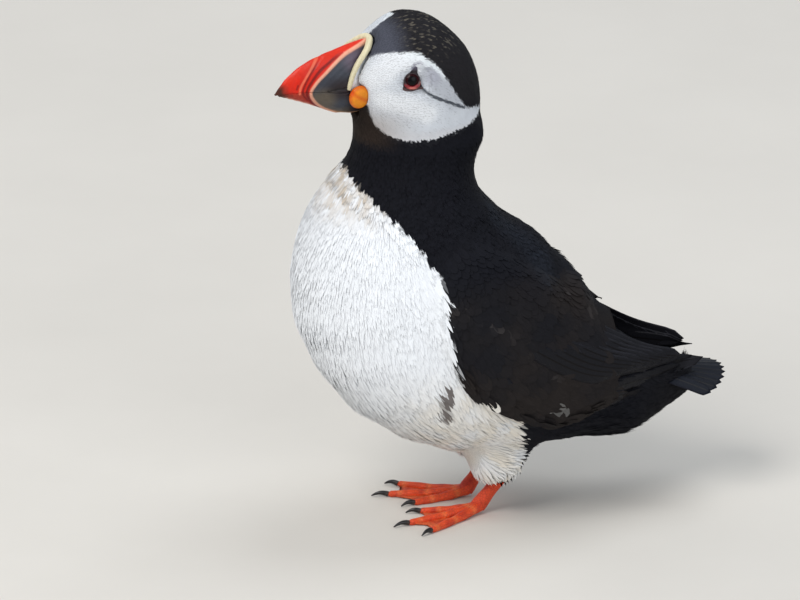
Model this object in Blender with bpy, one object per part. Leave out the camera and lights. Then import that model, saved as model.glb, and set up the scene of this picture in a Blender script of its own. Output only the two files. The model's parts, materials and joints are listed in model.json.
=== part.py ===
"""Atlantic puffin, standing, life size: the solids of a museum model, one object for each part of the bird.

Metres, +Z up. The bird faces -Y, its left side is +X, and its toes rest on the plane Z = 0. The feathered
body is one loft along the spine, parted into head, neck and trunk. The folded wings are shells that lie
over the trunk, and the bill, eyes, legs and feet are set into their places with a thin gap all round.
"""

import math

import bmesh
import bpy
import numpy as np
from mathutils import Matrix, Vector

MM = 0.001
GAP = 0.35 * MM  # clear space between two neighbouring pieces
SIDES = 26  # facets round the body

# Body stations along the spine, in millimetres: the centre of a slice (y, z), the slice's tilt in degrees
# (0 is a level slice), its reach to the belly side and to the back side, its half width, and the
# roundness of its two sides (2 is an ellipse, more is squarer, less is more pointed).
STATIONS = {
    "crown": (-36.6, 237.4, 0, 1.0, 1.0, 1.0, 2.0, 2.0),
    "forehead": (-36.6, 235.2, 0, 9.0, 10.8, 10.0, 1.9, 2.0),
    "brow": (-35.4, 229.8, 0, 17.4, 17.6, 16.0, 2.0, 2.0),
    "above_eye": (-33.4, 220.6, 0, 28.6, 24.6, 20.2, 2.0, 2.0),
    "eye": (-31.6, 209.8, 0, 34.6, 29.0, 22.4, 2.0, 2.1),
    "cheek": (-30.6, 199.2, 0, 33.4, 30.6, 23.6, 2.0, 2.1),
    "jaw": (-30.0, 189.2, 0, 28.8, 30.4, 24.2, 2.0, 2.1),
    "throat": (-29.8, 179.0, 0, 28.2, 29.8, 24.4, 2.0, 2.1),
    "neck": (-29.6, 168.0, 0, 31.4, 29.0, 26.4, 2.0, 2.1),
    "neck_base": (-33.1, 156.0, 0, 38.0, 33.6, 32.0, 2.0, 2.1),
    "shoulder": (-35.5, 141.5, 6, 46.4, 42.8, 40.0, 2.1, 2.1),
    "breast": (-33.0, 119.0, 22, 56.8, 54.0, 46.5, 2.1, 2.1),
    "belly": (-18.0, 95.0, 41, 60.2, 58.2, 48.0, 2.15, 2.1),
    "lower_belly": (2.0, 77.5, 60, 52.0, 57.5, 46.0, 2.15, 2.1),
    "vent": (23.5, 69.0, 72, 42.5, 45.5, 40.5, 2.1, 2.1),
    "rump": (45.0, 63.0, 80, 33.0, 30.5, 33.0, 2.15, 2.1),
    "tail_coverts": (63.0, 58.5, 80, 29.5, 17.5, 26.0, 2.3, 2.1),
    "tail_root": (77.0, 57.5, 78, 24.0, 8.5, 20.0, 2.4, 2.1),
    "undertail": (94.0, 56.5, 78, 12.0, 3.0, 11.0, 2.3, 2.1),
}
HEAD_PIVOT = (0.0, -32.0, 195.0)  # the head turns and tilts about this point
HEAD_TURN = 10.0  # degrees towards the bird's left
HEAD_TILT = 9.0  # degrees, the crown leaning towards the bird's left
TWIST_FROM, TWIST_TO = 179.0, 190.0  # heights between which the head takes up its turn
HEAD_END = "throat"  # the head is parted from the neck here
NECK_END = "neck_base"  # and the neck from the trunk here
ROWS_PER_STATION = 2

# Wing: how far the shell stands off the trunk, and the outer form that the folded flight feathers follow
# behind the trunk, as stations again.
WING_THICKNESS = 4.2
WING_TIP_STATIONS = {
    "rump": (45.0, 67.0, 82, 35.0, 31.5, 37.0, 2.1, 2.1),
    "tertials": (61.0, 66.5, 85, 28.0, 22.5, 29.0, 2.1, 2.0),
    "primaries": (79.0, 66.0, 86, 18.0, 14.0, 19.0, 2.0, 2.0),
    "wing_tip": (102.0, 65.0, 86, 9.0, 7.5, 6.5, 2.0, 2.0),
}
WING_BLADE = 1.7  # thickness of the folded flight feathers
WING_INNER_X = 2.2  # the two wing tips stay this far off the midline

# Outline of the folded left wing seen from the side, in (y, z): it runs from the top of the shoulder
# down the leading edge, back along the lower edge to the tip, and home over the back.
WING_LOWER_EDGE = [
    (-27, 132), (-31.5, 121), (-31.5, 109), (-28.5, 95), (-23, 82), (-13, 68.5), (3, 57.5), (20, 50), (35, 49.5),
    (49, 53), (61, 56), (73, 56), (85, 58), (94, 61.5),
]
WING_TIP = (100.5, 66.0)
WING_UPPER_EDGE = [(93, 70), (83, 73), (71, 79.5), (57, 92), (43, 106), (25, 121), (7, 132), (-11, 138), (-23, 138)]
PRIMARY_CUT_Y = 61.0  # behind this line the wing is its long flight feathers

# Bill, side view in (y, z): culmen from the forehead to the tip, the gape line, and the keel below.
BILL_ROOT_Y = -50.0
GAPE_Z = 206.3
GAPE_SLIT = 0.35
CULMEN = [
    (-50.0, 227.4), (-57.0, 228.8), (-63.0, 228.2), (-69.5, 227.0), (-76.4, 225.1), (-83.5, 222.2), (-89.5, 218.0),
    (-94.5, 212.8), (-98.4, 206.9),
]
KEEL = [
    (-50.0, 192.4), (-58.0, 191.9), (-62.3, 192.2), (-69.0, 193.6), (-74.3, 195.6), (-79.0, 197.9), (-84.4, 200.5),
    (-92.0, 203.8), (-96.5, 205.6),
]
BILL_HALF_WIDTH = [(-50, 6.0), (-57, 7.6), (-64, 8.3), (-72, 7.4), (-80, 5.9), (-88, 4.0), (-94.5, 2.2), (-98.4, 0.9)]
RIM_PATH = [(8.5, -66.7, 208.7), (8.3, -66.1, 212.6), (7.6, -64.3, 217.2), (6.2, -61.2, 221.6), (4.3, -57.6, 225.6), (1.6, -54.9, 229.0)]
RIM_RADIUS = 1.7

EYE_CENTRE = (17.3, -39.8, 214.2)
EYE_RADIUS = 5.4
ROSETTE_CENTRE = (10.4, -62.2, 205.9)
ROSETTE_HALF = (2.6, 4.9, 5.4)

TAIL_FEATHERS = 12
TAIL_ROOT = (0.0, 61.0, 63.0)  # centre that the tail feathers fan out from
TAIL_START = 13.0  # where the fan leaves the trunk, from that centre
TAIL_REACH = 52.0
TAIL_SPREAD = 34.0  # degrees to each side
TAIL_SLOPE = 7.5  # degrees below level
TAIL_DROOP = 7.0  # how far the outer feathers hang below the middle ones

LEG_X = 11.0
ANKLE = (LEG_X, -3.0, 4.4)  # where the toes meet
HEEL = (LEG_X + 2.0, 14.0, 27.0)
TARSUS_HALF = (2.1, 2.9)
TARSUS_LENGTH = 19.0  # the part that shows, from the ankle into the thigh feathers
STUB = 3.0
TOES = {  # name: (turn outwards in degrees, length, claw length)
    "inner": (-12.0, 27.0, 6.5),
    "middle": (13.0, 36.0, 7.5),
    "outer": (36.0, 34.0, 6.5),
}
TOE_RADIUS = 2.2
WEB_BOTTOM = 0.5
WEB_THICKNESS = 0.9
THIGH_CENTRE = (15.5, 3.0, 31.0)
THIGH_HALF = (12.0, 15.0, 14.0)


# ---------------------------------------------------------------- shapes


def through(points, count):
    """count points on a smooth curve through the given ones, evenly spread between each two."""
    p = np.array(points, float)
    padded = np.vstack([2 * p[0] - p[1], p, 2 * p[-1] - p[-2]])
    found = []
    for s in np.linspace(0, len(p) - 1, count):
        i = min(int(s), len(p) - 2)
        t = s - i
        a, b, c, d = padded[i : i + 4]
        found.append(0.5 * (2 * b + (c - a) * t + (2 * a - 5 * b + 4 * c - d) * t**2 + (3 * b - a - 3 * c + d) * t**3))
    return np.array(found)


def at(points, y):
    """Height of a side-view line at y."""
    line = through(points, 60)
    order = np.argsort(line[:, 0])
    return float(np.interp(y, line[order, 0], line[order, 1]))


def new_object(name, mesh, group):
    obj = bpy.data.objects.new(name, mesh)
    group.objects.link(obj)
    return obj


def mesh_from(name, verts, faces):
    mesh = bpy.data.meshes.new(name)
    mesh.from_pydata([tuple(v) for v in verts], [], faces)
    bm = bmesh.new()
    bm.from_mesh(mesh)
    bmesh.ops.recalc_face_normals(bm, faces=bm.faces)
    bm.to_mesh(mesh)
    bm.free()
    mesh.shade_smooth()
    return mesh


def loft(name, rings, group):
    """Closed skin over rings that all have the same number of points, with a flat cap at each end."""
    count = len(rings[0])
    verts = [p for ring in rings for p in ring]
    faces = []
    for r in range(len(rings) - 1):
        for i in range(count):
            j = (i + 1) % count
            faces.append((r * count + i, r * count + j, (r + 1) * count + j, (r + 1) * count + i))
    faces.append(tuple(range(count)))
    faces.append(tuple((len(rings) - 1) * count + i for i in reversed(range(count))))
    return new_object(name, mesh_from(name, verts, faces), group)


def slice_ring(row, grow=0.0, sides=SIDES):
    """The closed outline of one body slice, made larger by grow all round."""
    y, z, tilt, belly, back, half, belly_round, back_round = row
    a = math.radians(tilt)
    ring = []
    for k in range(sides):
        turn = 2 * math.pi * k / sides
        c, s = math.cos(turn), math.sin(turn)
        power = belly_round if c > 0 else back_round
        reach = (belly if c > 0 else back) + grow
        across = math.copysign(abs(s) ** (2 / power), s) * (half + grow)
        along = math.copysign(abs(c) ** (2 / power), c) * reach
        ring.append(Vector((across, y - along * math.cos(a), z - along * math.sin(a))) * MM)
    return ring


def body_rows(first, last, table=STATIONS, start=0.0, end=0.0):
    """Slices from one station to another. start and end move the two end slices inwards, in millimetres."""
    names = list(table)
    i, j = names.index(first), names.index(last)
    rows = through(list(table.values()), (len(names) - 1) * ROWS_PER_STATION + 1)
    rows = rows[i * ROWS_PER_STATION : j * ROWS_PER_STATION + 1].copy()
    for at_end, inwards in ((0, start), (-1, end)):
        if inwards:
            neighbour = rows[1] if at_end == 0 else rows[-2]
            step = math.hypot(*(neighbour - rows[at_end])[:2])
            rows[at_end] += (neighbour - rows[at_end]) * inwards / step
    return rows


def body_loft(name, rows, group, grow=0.0):
    return loft(name, [slice_ring(row, grow) for row in rows], group)


def tube(name, points, radii, group, resolution=3):
    """A round solid along a smooth path, with its own radius at each point, in millimetres."""
    curve = bpy.data.curves.new(name, "CURVE")
    curve.dimensions = "3D"
    curve.bevel_depth = MM
    curve.bevel_resolution = resolution
    curve.use_fill_caps = True
    spline = curve.splines.new("POLY")
    spline.points.add(len(points) - 1)
    for point, place, radius in zip(spline.points, points, radii):
        point.co = (*(Vector(place) * MM), 1)
        point.radius = radius
    guide = new_object(name + "_path", curve, group)
    mesh = bpy.data.meshes.new_from_object(guide.evaluated_get(bpy.context.evaluated_depsgraph_get()))
    bpy.data.objects.remove(guide)
    bm = bmesh.new()
    bm.from_mesh(mesh)
    bmesh.ops.remove_doubles(bm, verts=bm.verts, dist=0.00001)
    bmesh.ops.recalc_face_normals(bm, faces=bm.faces)
    bm.to_mesh(mesh)
    bm.free()
    mesh.shade_smooth()
    return new_object(name, mesh, group)


def ball(name, centre, half, group, segments=20, rings=12, turn=0.0):
    """An egg shape with the given half sizes, turned about X by turn degrees."""
    mesh = bpy.data.meshes.new(name)
    bm = bmesh.new()
    place = Matrix.Translation(Vector(centre) * MM) @ Matrix.Rotation(math.radians(turn), 4, "X")
    size = Matrix.Diagonal((*(Vector(half) * MM), 1))
    bmesh.ops.create_uvsphere(bm, u_segments=segments, v_segments=rings, radius=1, matrix=place @ size)
    bm.to_mesh(mesh)
    bm.free()
    mesh.shade_smooth()
    return new_object(name, mesh, group)


def prism(name, outline, low_x, high_x, group):
    """A side-view outline in (y, z), extruded from low_x to high_x."""
    rings = [[Vector((x, y, z)) * MM for y, z in outline] for x in (low_x, high_x)]
    return loft(name, rings, group)


def block(name, low, high, group):
    mesh = bpy.data.meshes.new(name)
    bm = bmesh.new()
    low, high = Vector(low) * MM, Vector(high) * MM
    size = Matrix.Diagonal((*(high - low), 1))
    bmesh.ops.create_cube(bm, size=1, matrix=Matrix.Translation((low + high) / 2) @ size)
    bm.to_mesh(mesh)
    bm.free()
    return new_object(name, mesh, group)


def combine(obj, tool, operation="DIFFERENCE"):
    """Adds a Boolean of tool to obj, and hides the tool."""
    step = obj.modifiers.new(tool.name, "BOOLEAN")
    step.operation = operation
    step.object = tool
    tool.hide_render = True
    tool.display_type = "WIRE"


def settle(obj):
    """Applies the object's modifiers, so that it can be used as a tool itself."""
    mesh = bpy.data.meshes.new_from_object(obj.evaluated_get(bpy.context.evaluated_depsgraph_get()))
    obj.modifiers.clear()
    obj.data = mesh


def mirrored(obj, name, group):
    """The same piece on the other side of the bird."""
    mesh = bpy.data.meshes.new_from_object(obj.evaluated_get(bpy.context.evaluated_depsgraph_get()))
    mesh.transform(Matrix.Diagonal((-1, 1, 1, 1)))
    mesh.flip_normals()
    mesh.name = name
    twin = new_object(name, mesh, group)
    twin.hide_render = obj.hide_render
    twin.display_type = obj.display_type
    return twin


def finish(obj, colour, roughness=0.6):
    """Gives the object a plain material of its own, and creases only its sharp edges."""
    made = bpy.data.materials.new(obj.name)
    made.use_nodes = True
    shader = made.node_tree.nodes["Principled BSDF"]
    shader.inputs["Base Color"].default_value = (*colour, 1)
    shader.inputs["Roughness"].default_value = roughness
    obj.data.materials.clear()
    obj.data.materials.append(made)
    obj.data.set_sharp_from_angle(angle=math.radians(50))


def pose_head(pieces):
    """Turns and tilts the head with all that is set in it, and twists the throat to follow."""
    pivot = Matrix.Translation(Vector(HEAD_PIVOT) * MM)
    for piece in pieces:
        for vert in piece.data.vertices:
            share = min(max((vert.co.z / MM - TWIST_FROM) / (TWIST_TO - TWIST_FROM), 0), 1)
            share = share * share * (3 - 2 * share)
            turn = Matrix.Rotation(math.radians(HEAD_TURN) * share, 4, "Z")
            tilt = Matrix.Rotation(math.radians(HEAD_TILT) * share, 4, "Y")
            vert.co = pivot @ turn @ tilt @ pivot.inverted() @ vert.co


# ---------------------------------------------------------------- bill and face


def half_width(y):
    """Half the bill's width at the gape."""
    return float(np.interp(-y, [-p[0] for p in BILL_HALF_WIDTH], [p[1] for p in BILL_HALF_WIDTH]))


def bill_half(name, edge, group, upper):
    """The upper or the lower half of the bill: slices across it, flat at the gape and round at the far edge."""
    steps, arc = 11, 7
    sign = 1 if upper else -1
    flat = GAPE_Z + sign * GAPE_SLIT / 2
    rings = []
    for y in np.linspace(BILL_ROOT_Y, edge[-1][0], steps):
        reach = max(abs(at(edge, y) - GAPE_Z) - GAPE_SLIT / 2, 0.5)
        ring = []
        for k in range(arc + 1):
            turn = math.pi * k / arc
            across = math.copysign(abs(math.cos(turn)) ** 0.75, math.cos(turn)) * half_width(y)
            ring.append(Vector((across, y, flat + sign * reach * math.sin(turn) ** 0.9)) * MM)
        rings.append(ring)
    return loft(name, rings, group)


def bill_room(tools):
    """The place that the whole bill takes in the head, with the gap all round."""
    rings = []
    for y in np.linspace(BILL_ROOT_Y + 0.4, -78.0, 7):
        half = half_width(y) + GAP / MM
        ring = []
        for k in range(20):
            turn = 2 * math.pi * (k + 0.5) / 20
            reach = abs(at(CULMEN if math.sin(turn) > 0 else KEEL, y) - GAPE_Z) + 0.7
            across = math.copysign(abs(math.cos(turn)) ** 0.75, math.cos(turn)) * half
            up = math.copysign(abs(math.sin(turn)) ** 0.9, math.sin(turn)) * reach
            ring.append(Vector((across, y, GAPE_Z + up)) * MM)
        rings.append(ring)
    return loft("bill_room", rings, tools)


def make_bill(parts, tools):
    upper = bill_half("bill_upper", CULMEN, parts, True)
    lower = bill_half("bill_lower", KEEL, parts, False)
    rim_side = through(RIM_PATH, 6)
    rim_path = [*rim_side, *[(-x, y, z) for x, y, z in rim_side[::-1]]]
    taper = [0.8, 0.95] + [1.0] * (len(rim_path) - 4) + [0.95, 0.8]
    rim = tube("bill_rim", rim_path, [RIM_RADIUS * t for t in taper], parts, 2)
    room = tube("rim_room", rim_path, [RIM_RADIUS * t + GAP / MM for t in taper], tools, 2)
    combine(upper, room)
    return upper, lower, rim, room


def make_rosette(parts, tools):
    left = ball("rosette_left", ROSETTE_CENTRE, ROSETTE_HALF, parts, 14, 8, 12)
    room = ball("rosette_room", ROSETTE_CENTRE, [h + GAP / MM for h in ROSETTE_HALF], tools, 14, 8, 12)
    return left, room


# ---------------------------------------------------------------- wings and tail


def make_wing(parts, tools):
    """The left wing: a shell over the trunk, and behind it the blade of the long flight feathers."""
    outline = [*through(WING_LOWER_EDGE, 30), WING_TIP, *through(WING_UPPER_EDGE, 18)]
    over = body_rows("shoulder", "rump")
    behind = body_rows("rump", "wing_tip", WING_TIP_STATIONS)
    front = [slice_ring(row, WING_THICKNESS) for row in over[:-1]]
    wing = loft("wing_left", front + [slice_ring(row) for row in behind], parts)
    hollow = loft("wing_hollow", [slice_ring(row, -WING_BLADE) for row in behind[:-1]], tools)
    combine(wing, prism("wing_side", outline, WING_INNER_X, 80, tools), "INTERSECT")
    combine(wing, hollow)
    combine(wing, body_loft("trunk_room", body_rows("neck", "undertail"), tools, GAP / MM))
    return wing


def tail_sheet(side, grow=0.0):
    """Points on the top (side 1) or underside (side -1) of the tail fan, in rows from root to tips."""
    per_feather, along = 2, 5
    across = TAIL_FEATHERS * per_feather
    slope = math.radians(TAIL_SLOPE)
    rows = []
    for i in range(along + 1):
        u = i / along
        row = []
        for k in range(across + 1):
            v = 2 * k / across - 1
            turn = math.radians(TAIL_SPREAD) * v
            tip = (TAIL_REACH - TAIL_START) * (1 - 0.16 * v * v) - (0 if k % per_feather else 2.2)
            r = TAIL_START + tip * u
            half_thick = (5.5 * (1 - u) ** 1.6 + 0.6) * (1 - 0.75 * v**4) + grow
            x, y = r * math.sin(turn), r * math.cos(turn)
            z = -y * math.tan(slope) - TAIL_DROOP * (x / TAIL_REACH / math.sin(math.radians(TAIL_SPREAD))) ** 2
            row.append((Vector(TAIL_ROOT) + Vector((x, y, z + side * half_thick))) * MM)
        rows.append(row)
    return rows


def make_tail(parts, tools):
    rings = []
    for top, under in zip(tail_sheet(1), tail_sheet(-1)):
        rings.append([*top, *under[::-1]])
    tail = loft("tail", rings, parts)
    combine(tail, body_loft("trunk_end_room", body_rows("rump", "undertail"), tools, GAP / MM))
    return tail


# ---------------------------------------------------------------- legs and feet


def leg_axis():
    return (Vector(HEEL) - Vector(ANKLE)).normalized()


def oval_rod(name, start, end, grow, group):
    """The shank: an oval rod along the leg, thicker at both joints, between two distances from the ankle."""
    axis = leg_axis()
    side = Vector((1, 0, 0))
    front = axis.cross(side).normalized()
    rings = []
    for i in range(7):
        s = start + (end - start) * i / 6
        swell = 1 + 0.22 * math.exp(-((s / 4.5) ** 2)) + 0.18 * math.exp(-(((s - TARSUS_LENGTH) / 6) ** 2))
        ring = []
        for k in range(12):
            turn = 2 * math.pi * k / 12
            across = side * math.cos(turn) * (TARSUS_HALF[0] * swell + grow)
            along = front * math.sin(turn) * (TARSUS_HALF[1] * swell + grow)
            ring.append((Vector(ANKLE) + axis * s + across + along) * MM)
        rings.append(ring)
    return loft(name, rings, group)


def toe_path(name, length_share=1.0, steps=7):
    """Points from the ankle out along a toe, held just above the floor."""
    turn, length, _ = TOES[name]
    a = math.radians(turn)
    points = []
    for i in range(steps):
        s = i / (steps - 1) * length_share
        height = 1.35 + (ANKLE[2] - 2.2) * (1 - s) ** 3
        points.append(Vector((ANKLE[0] + math.sin(a) * length * s, ANKLE[1] - math.cos(a) * length * s, height)))
    return points


def make_web(tools):
    """The skin between the toes, with its front edge drawn in between two toe tips."""
    edge = [Vector(ANKLE) + Vector((-1.5, 3.0, 0))]
    tips = [toe_path(n, 0.97)[-1] for n in TOES]
    for a, b in zip(tips, tips[1:]):
        for i in range(7):
            t = i / 6
            drawn = (a.lerp(b, t) - Vector(ANKLE)) * (1 - 0.15 * math.sin(math.pi * t))
            edge.append(Vector(ANKLE) + drawn)
    edge.append(Vector(ANKLE) + Vector((1.5, 3.0, 0)))
    low, high = WEB_BOTTOM, WEB_BOTTOM + WEB_THICKNESS
    rings = [[Vector((p.x, p.y, h)) * MM for p in edge] for h in (low, high)]
    return loft("web_left", rings, tools)


def make_foot(parts, tools):
    """Three toes with swollen joints, the web between them and the stub of the shank, on one flat sole."""
    knuckles = [1.25, 0.95, 1.02, 0.8, 0.9, 0.72, 0.62]
    foot = tube("foot_left", toe_path("middle"), [TOE_RADIUS * k for k in knuckles], parts, 1)
    for name in ("inner", "outer"):
        toe = tube(f"toe_{name}", toe_path(name), [TOE_RADIUS * k * 0.93 for k in knuckles], tools, 1)
        combine(foot, toe, "UNION")
    combine(foot, make_web(tools), "UNION")
    combine(foot, oval_rod("shank_stub", -1.2, STUB, 0, tools), "UNION")
    combine(foot, block("below_floor", (-40, -80, -20), (80, 40, 0), tools))
    shank = oval_rod("tarsus_left", STUB + GAP / MM, TARSUS_LENGTH, 0, parts)
    claws = []
    for name, (turn, length, claw) in TOES.items():
        a = math.radians(turn)
        out = Vector((math.sin(a), -math.cos(a), 0))
        root = toe_path(name)[-1] + out * GAP / MM
        path = []
        for s in np.linspace(0, 1, 6):
            path.append(root + out * claw * s + Vector((0, 0, 0.9 * math.sin(math.pi * s) - 0.75 * s)))
        radii = [1.25, 1.15, 0.98, 0.78, 0.56, 0.3]
        claws.append(tube(f"claw_left_{name}", path, radii, parts, 1))
    return foot, shank, claws


def make_thigh(parts, tools):
    thigh = ball("thigh_left", THIGH_CENTRE, THIGH_HALF, parts, 16, 10, -12)
    combine(thigh, tools.objects["trunk_room"])
    combine(thigh, oval_rod("shank_room", STUB, TARSUS_LENGTH + GAP / MM, GAP / MM, tools))
    return thigh


# ---------------------------------------------------------------- the whole bird

BLACK = (0.012, 0.013, 0.018)
WHITE = (0.82, 0.84, 0.86)
GREY = (0.58, 0.6, 0.63)
RED = (0.7, 0.045, 0.015)
CREAM = (0.72, 0.66, 0.42)
ORANGE = (0.85, 0.26, 0.015)
LEG_RED = (0.72, 0.07, 0.02)
CLAW = (0.02, 0.018, 0.016)


def empty_scene():
    for obj in list(bpy.data.objects):
        bpy.data.objects.remove(obj)


def collection(name):
    made = bpy.data.collections.new(name)
    bpy.context.scene.collection.children.link(made)
    return made


def centre_on_origin(*groups):
    """Moves everything along Y so that the bird's box is centred on the origin."""
    bpy.context.view_layer.update()
    graph = bpy.context.evaluated_depsgraph_get()
    reach = []
    for obj in groups[0].objects:
        shown = obj.evaluated_get(graph)
        reach += [(shown.matrix_world @ Vector(corner)).y for corner in shown.bound_box]
    for group in groups:
        for obj in group.objects:
            obj.location.y -= (min(reach) + max(reach)) / 2


def build():
    empty_scene()
    parts, tools = collection("puffin"), collection("puffin_cutters")

    head = body_loft("head", body_rows("crown", HEAD_END), parts)
    neck = body_loft("neck", body_rows(HEAD_END, NECK_END, start=GAP / MM), parts)
    trunk = body_loft("trunk", body_rows(NECK_END, "undertail", start=GAP / MM), parts)

    bill_upper, bill_lower, rim, rim_room = make_bill(parts, tools)
    rosette, rosette_room = make_rosette(parts, tools)
    rosette_room_right = mirrored(rosette_room, "rosette_room_right", tools)
    for piece in (bill_upper, bill_lower):
        combine(piece, rosette_room)
        combine(piece, rosette_room_right)
    combine(bill_lower, rim_room)
    combine(rosette, rim_room)
    rosette_right = mirrored(rosette, "rosette_right", parts)

    eye = ball("eye_left", EYE_CENTRE, [EYE_RADIUS] * 3, parts, 14, 9)
    eye_room = ball("eye_room", EYE_CENTRE, [EYE_RADIUS + GAP / MM] * 3, tools, 14, 9)
    eye_right = mirrored(eye, "eye_right", parts)
    rooms = [
        bill_room(tools),
        rim_room,
        rosette_room,
        rosette_room_right,
        eye_room,
        mirrored(eye_room, "eye_room_right", tools),
    ]
    for room in rooms:
        combine(head, room)
    pose_head([head, bill_upper, bill_lower, rim, rosette, rosette_right, eye, eye_right, *rooms])

    wing = make_wing(parts, tools)
    tail = make_tail(parts, tools)
    tail_room = loft("tail_room", [[*a, *b[::-1]] for a, b in zip(tail_sheet(1, 0.4), tail_sheet(-1, 0.4))], tools)
    combine(wing, tail_room)
    settle(wing)
    primaries = new_object("primaries_left", wing.data.copy(), parts)
    combine(wing, block("behind_cut", (-80, PRIMARY_CUT_Y - GAP / MM, -20), (80, 160, 200), tools))
    combine(primaries, block("before_cut", (-80, -160, -20), (80, PRIMARY_CUT_Y, 200), tools))

    foot, shank, claws = make_foot(parts, tools)
    thigh = make_thigh(parts, tools)
    combine(thigh, wing)
    wing.hide_render, wing.display_type = False, "TEXTURED"

    pairs = [(wing, BLACK), (primaries, BLACK), (foot, LEG_RED), (shank, LEG_RED), (thigh, WHITE)]
    pairs += [(claw, CLAW) for claw in claws]
    for piece, colour in pairs:
        finish(mirrored(piece, piece.name.replace("left", "right"), parts), colour)
        finish(piece, colour)
    for piece, colour in (
        (head, GREY), (neck, BLACK), (trunk, WHITE), (tail, BLACK), (bill_upper, RED), (bill_lower, RED),
        (rim, CREAM), (rosette, ORANGE), (rosette_right, ORANGE), (eye, CLAW), (eye_right, CLAW),
    ):
        finish(piece, colour)
    centre_on_origin(parts, tools)


build()
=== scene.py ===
"""The Atlantic puffin, dressed: plumage, bill, eyes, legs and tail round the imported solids."""
import json
import math

import bmesh
import bpy
import numpy as np
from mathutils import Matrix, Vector
from mathutils.bvhtree import BVHTree

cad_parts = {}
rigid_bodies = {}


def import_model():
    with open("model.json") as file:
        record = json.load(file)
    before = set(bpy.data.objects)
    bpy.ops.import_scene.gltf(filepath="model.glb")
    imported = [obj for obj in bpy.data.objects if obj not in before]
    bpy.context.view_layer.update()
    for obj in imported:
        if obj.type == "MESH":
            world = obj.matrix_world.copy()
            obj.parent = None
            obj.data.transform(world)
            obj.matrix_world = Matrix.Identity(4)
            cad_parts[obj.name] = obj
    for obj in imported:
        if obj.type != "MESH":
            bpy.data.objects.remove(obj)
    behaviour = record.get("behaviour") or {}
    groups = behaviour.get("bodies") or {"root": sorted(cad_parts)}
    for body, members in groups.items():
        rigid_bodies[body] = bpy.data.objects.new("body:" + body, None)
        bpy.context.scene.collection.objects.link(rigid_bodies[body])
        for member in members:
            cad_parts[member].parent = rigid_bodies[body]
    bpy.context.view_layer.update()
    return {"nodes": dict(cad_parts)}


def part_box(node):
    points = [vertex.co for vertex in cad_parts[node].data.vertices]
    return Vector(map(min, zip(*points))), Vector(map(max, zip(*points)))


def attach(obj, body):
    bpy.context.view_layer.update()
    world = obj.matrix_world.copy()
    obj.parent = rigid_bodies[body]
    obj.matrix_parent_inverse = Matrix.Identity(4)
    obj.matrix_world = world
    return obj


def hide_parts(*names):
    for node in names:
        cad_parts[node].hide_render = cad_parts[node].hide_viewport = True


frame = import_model()

# Measures are in millimetres from the maker's table point, which the trunk's rear end sets.
MM = 0.001
TRUNK_REACH = 94.63
DATUM = np.array([0.0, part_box("trunk")[1].y / MM - TRUNK_REACH, 0.0])
SIDES = (("left", 1), ("right", -1))
ROUND = 2 * math.pi

# ---------------------------------------------------------------- camera and studio

AZIMUTH = math.radians(76)
ELEVATION = math.radians(20)
STAND_OFF = 10.0
VIEW_WIDTH = 0.35556
SENSOR = 36.0
AIM_ACROSS = -0.03556
AIM_UP = 0.09111
AIM_NEAR = 0.045
FARTHEST = 100
ROOM_COLOUR = (0.86, 0.92, 1.0, 1)
ROOM_LIGHT = 0.42
LIT_SPOT = Vector((0, 0, 0.12))
# Each soft box: its name, place, width, power and colour.
SOFT_BOXES = (
    ("key_box", (1.1, -1.5, 2.1), 1.5, 46, (1.0, 0.97, 0.93)),
    ("side_box", (2.2, 0.6, 1.0), 1.8, 17, (0.93, 0.96, 1.0)),
    ("top_box", (-0.5, 0.9, 2.2), 1.6, 20, (0.92, 0.96, 1.0)),
    ("far_box", (-1.8, -1.0, 1.0), 1.6, 8, (1.0, 0.98, 0.95)),
)


def add_object(name, data):
    """A new object in the scene."""
    thing = bpy.data.objects.new(name, data)
    bpy.context.scene.collection.objects.link(thing)
    return thing


def add_camera():
    """A long lens to the bird's left, a little ahead of it and looking down."""
    back = Vector((
        math.sin(AZIMUTH) * math.cos(ELEVATION),
        -math.cos(AZIMUTH) * math.cos(ELEVATION),
        math.sin(ELEVATION),
    ))
    right = Vector((math.cos(AZIMUTH), math.sin(AZIMUTH), 0))
    up = back.cross(right)
    aim = Vector(DATUM * MM) + right * AIM_ACROSS + up * AIM_UP + back * AIM_NEAR
    lens = bpy.data.cameras.new("long_lens")
    lens.sensor_width = SENSOR
    lens.lens = SENSOR * STAND_OFF / VIEW_WIDTH
    lens.clip_end = FARTHEST
    camera = add_object("long_lens", lens)
    camera.location = aim + back * STAND_OFF
    camera.rotation_euler = back.to_track_quat("Z", "Y").to_euler()
    bpy.context.scene.camera = camera


def add_light(name, place, size, power, colour):
    """One soft box, turned towards the bird's breast."""
    light = bpy.data.lights.new(name, "AREA")
    light.shape = "DISK"
    light.size = size
    light.energy = power
    light.color = colour
    lamp = add_object(name, light)
    lamp.location = place
    towards = Vector(place) - LIT_SPOT
    lamp.rotation_euler = towards.to_track_quat("Z", "Y").to_euler()


def add_studio():
    """A pale room and its soft boxes."""
    room = bpy.data.worlds.new("pale_room")
    room.use_nodes = True
    air = room.node_tree.nodes["Background"]
    air.inputs["Color"].default_value = ROOM_COLOUR
    air.inputs["Strength"].default_value = ROOM_LIGHT
    bpy.context.scene.world = room
    for box in SOFT_BOXES:
        add_light(*box)


add_camera()
add_studio()
bpy.context.scene.view_settings.view_transform = "Standard"


# ---------------------------------------------------------------- small tools

FIELDS = {
    "FLOAT": "value", "FLOAT_VECTOR": "vector", "FLOAT_COLOR": "color", "FLOAT2": "vector", "INT": "value",
}
MERGE_GAP = 2e-6


def to_table(points):
    """Metres in the frame to millimetres from the table point."""
    return np.asarray(points, float) / MM - DATUM


def to_frame(points):
    """Millimetres from the table point to metres in the frame."""
    return (np.asarray(points, float) + DATUM) * MM


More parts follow.
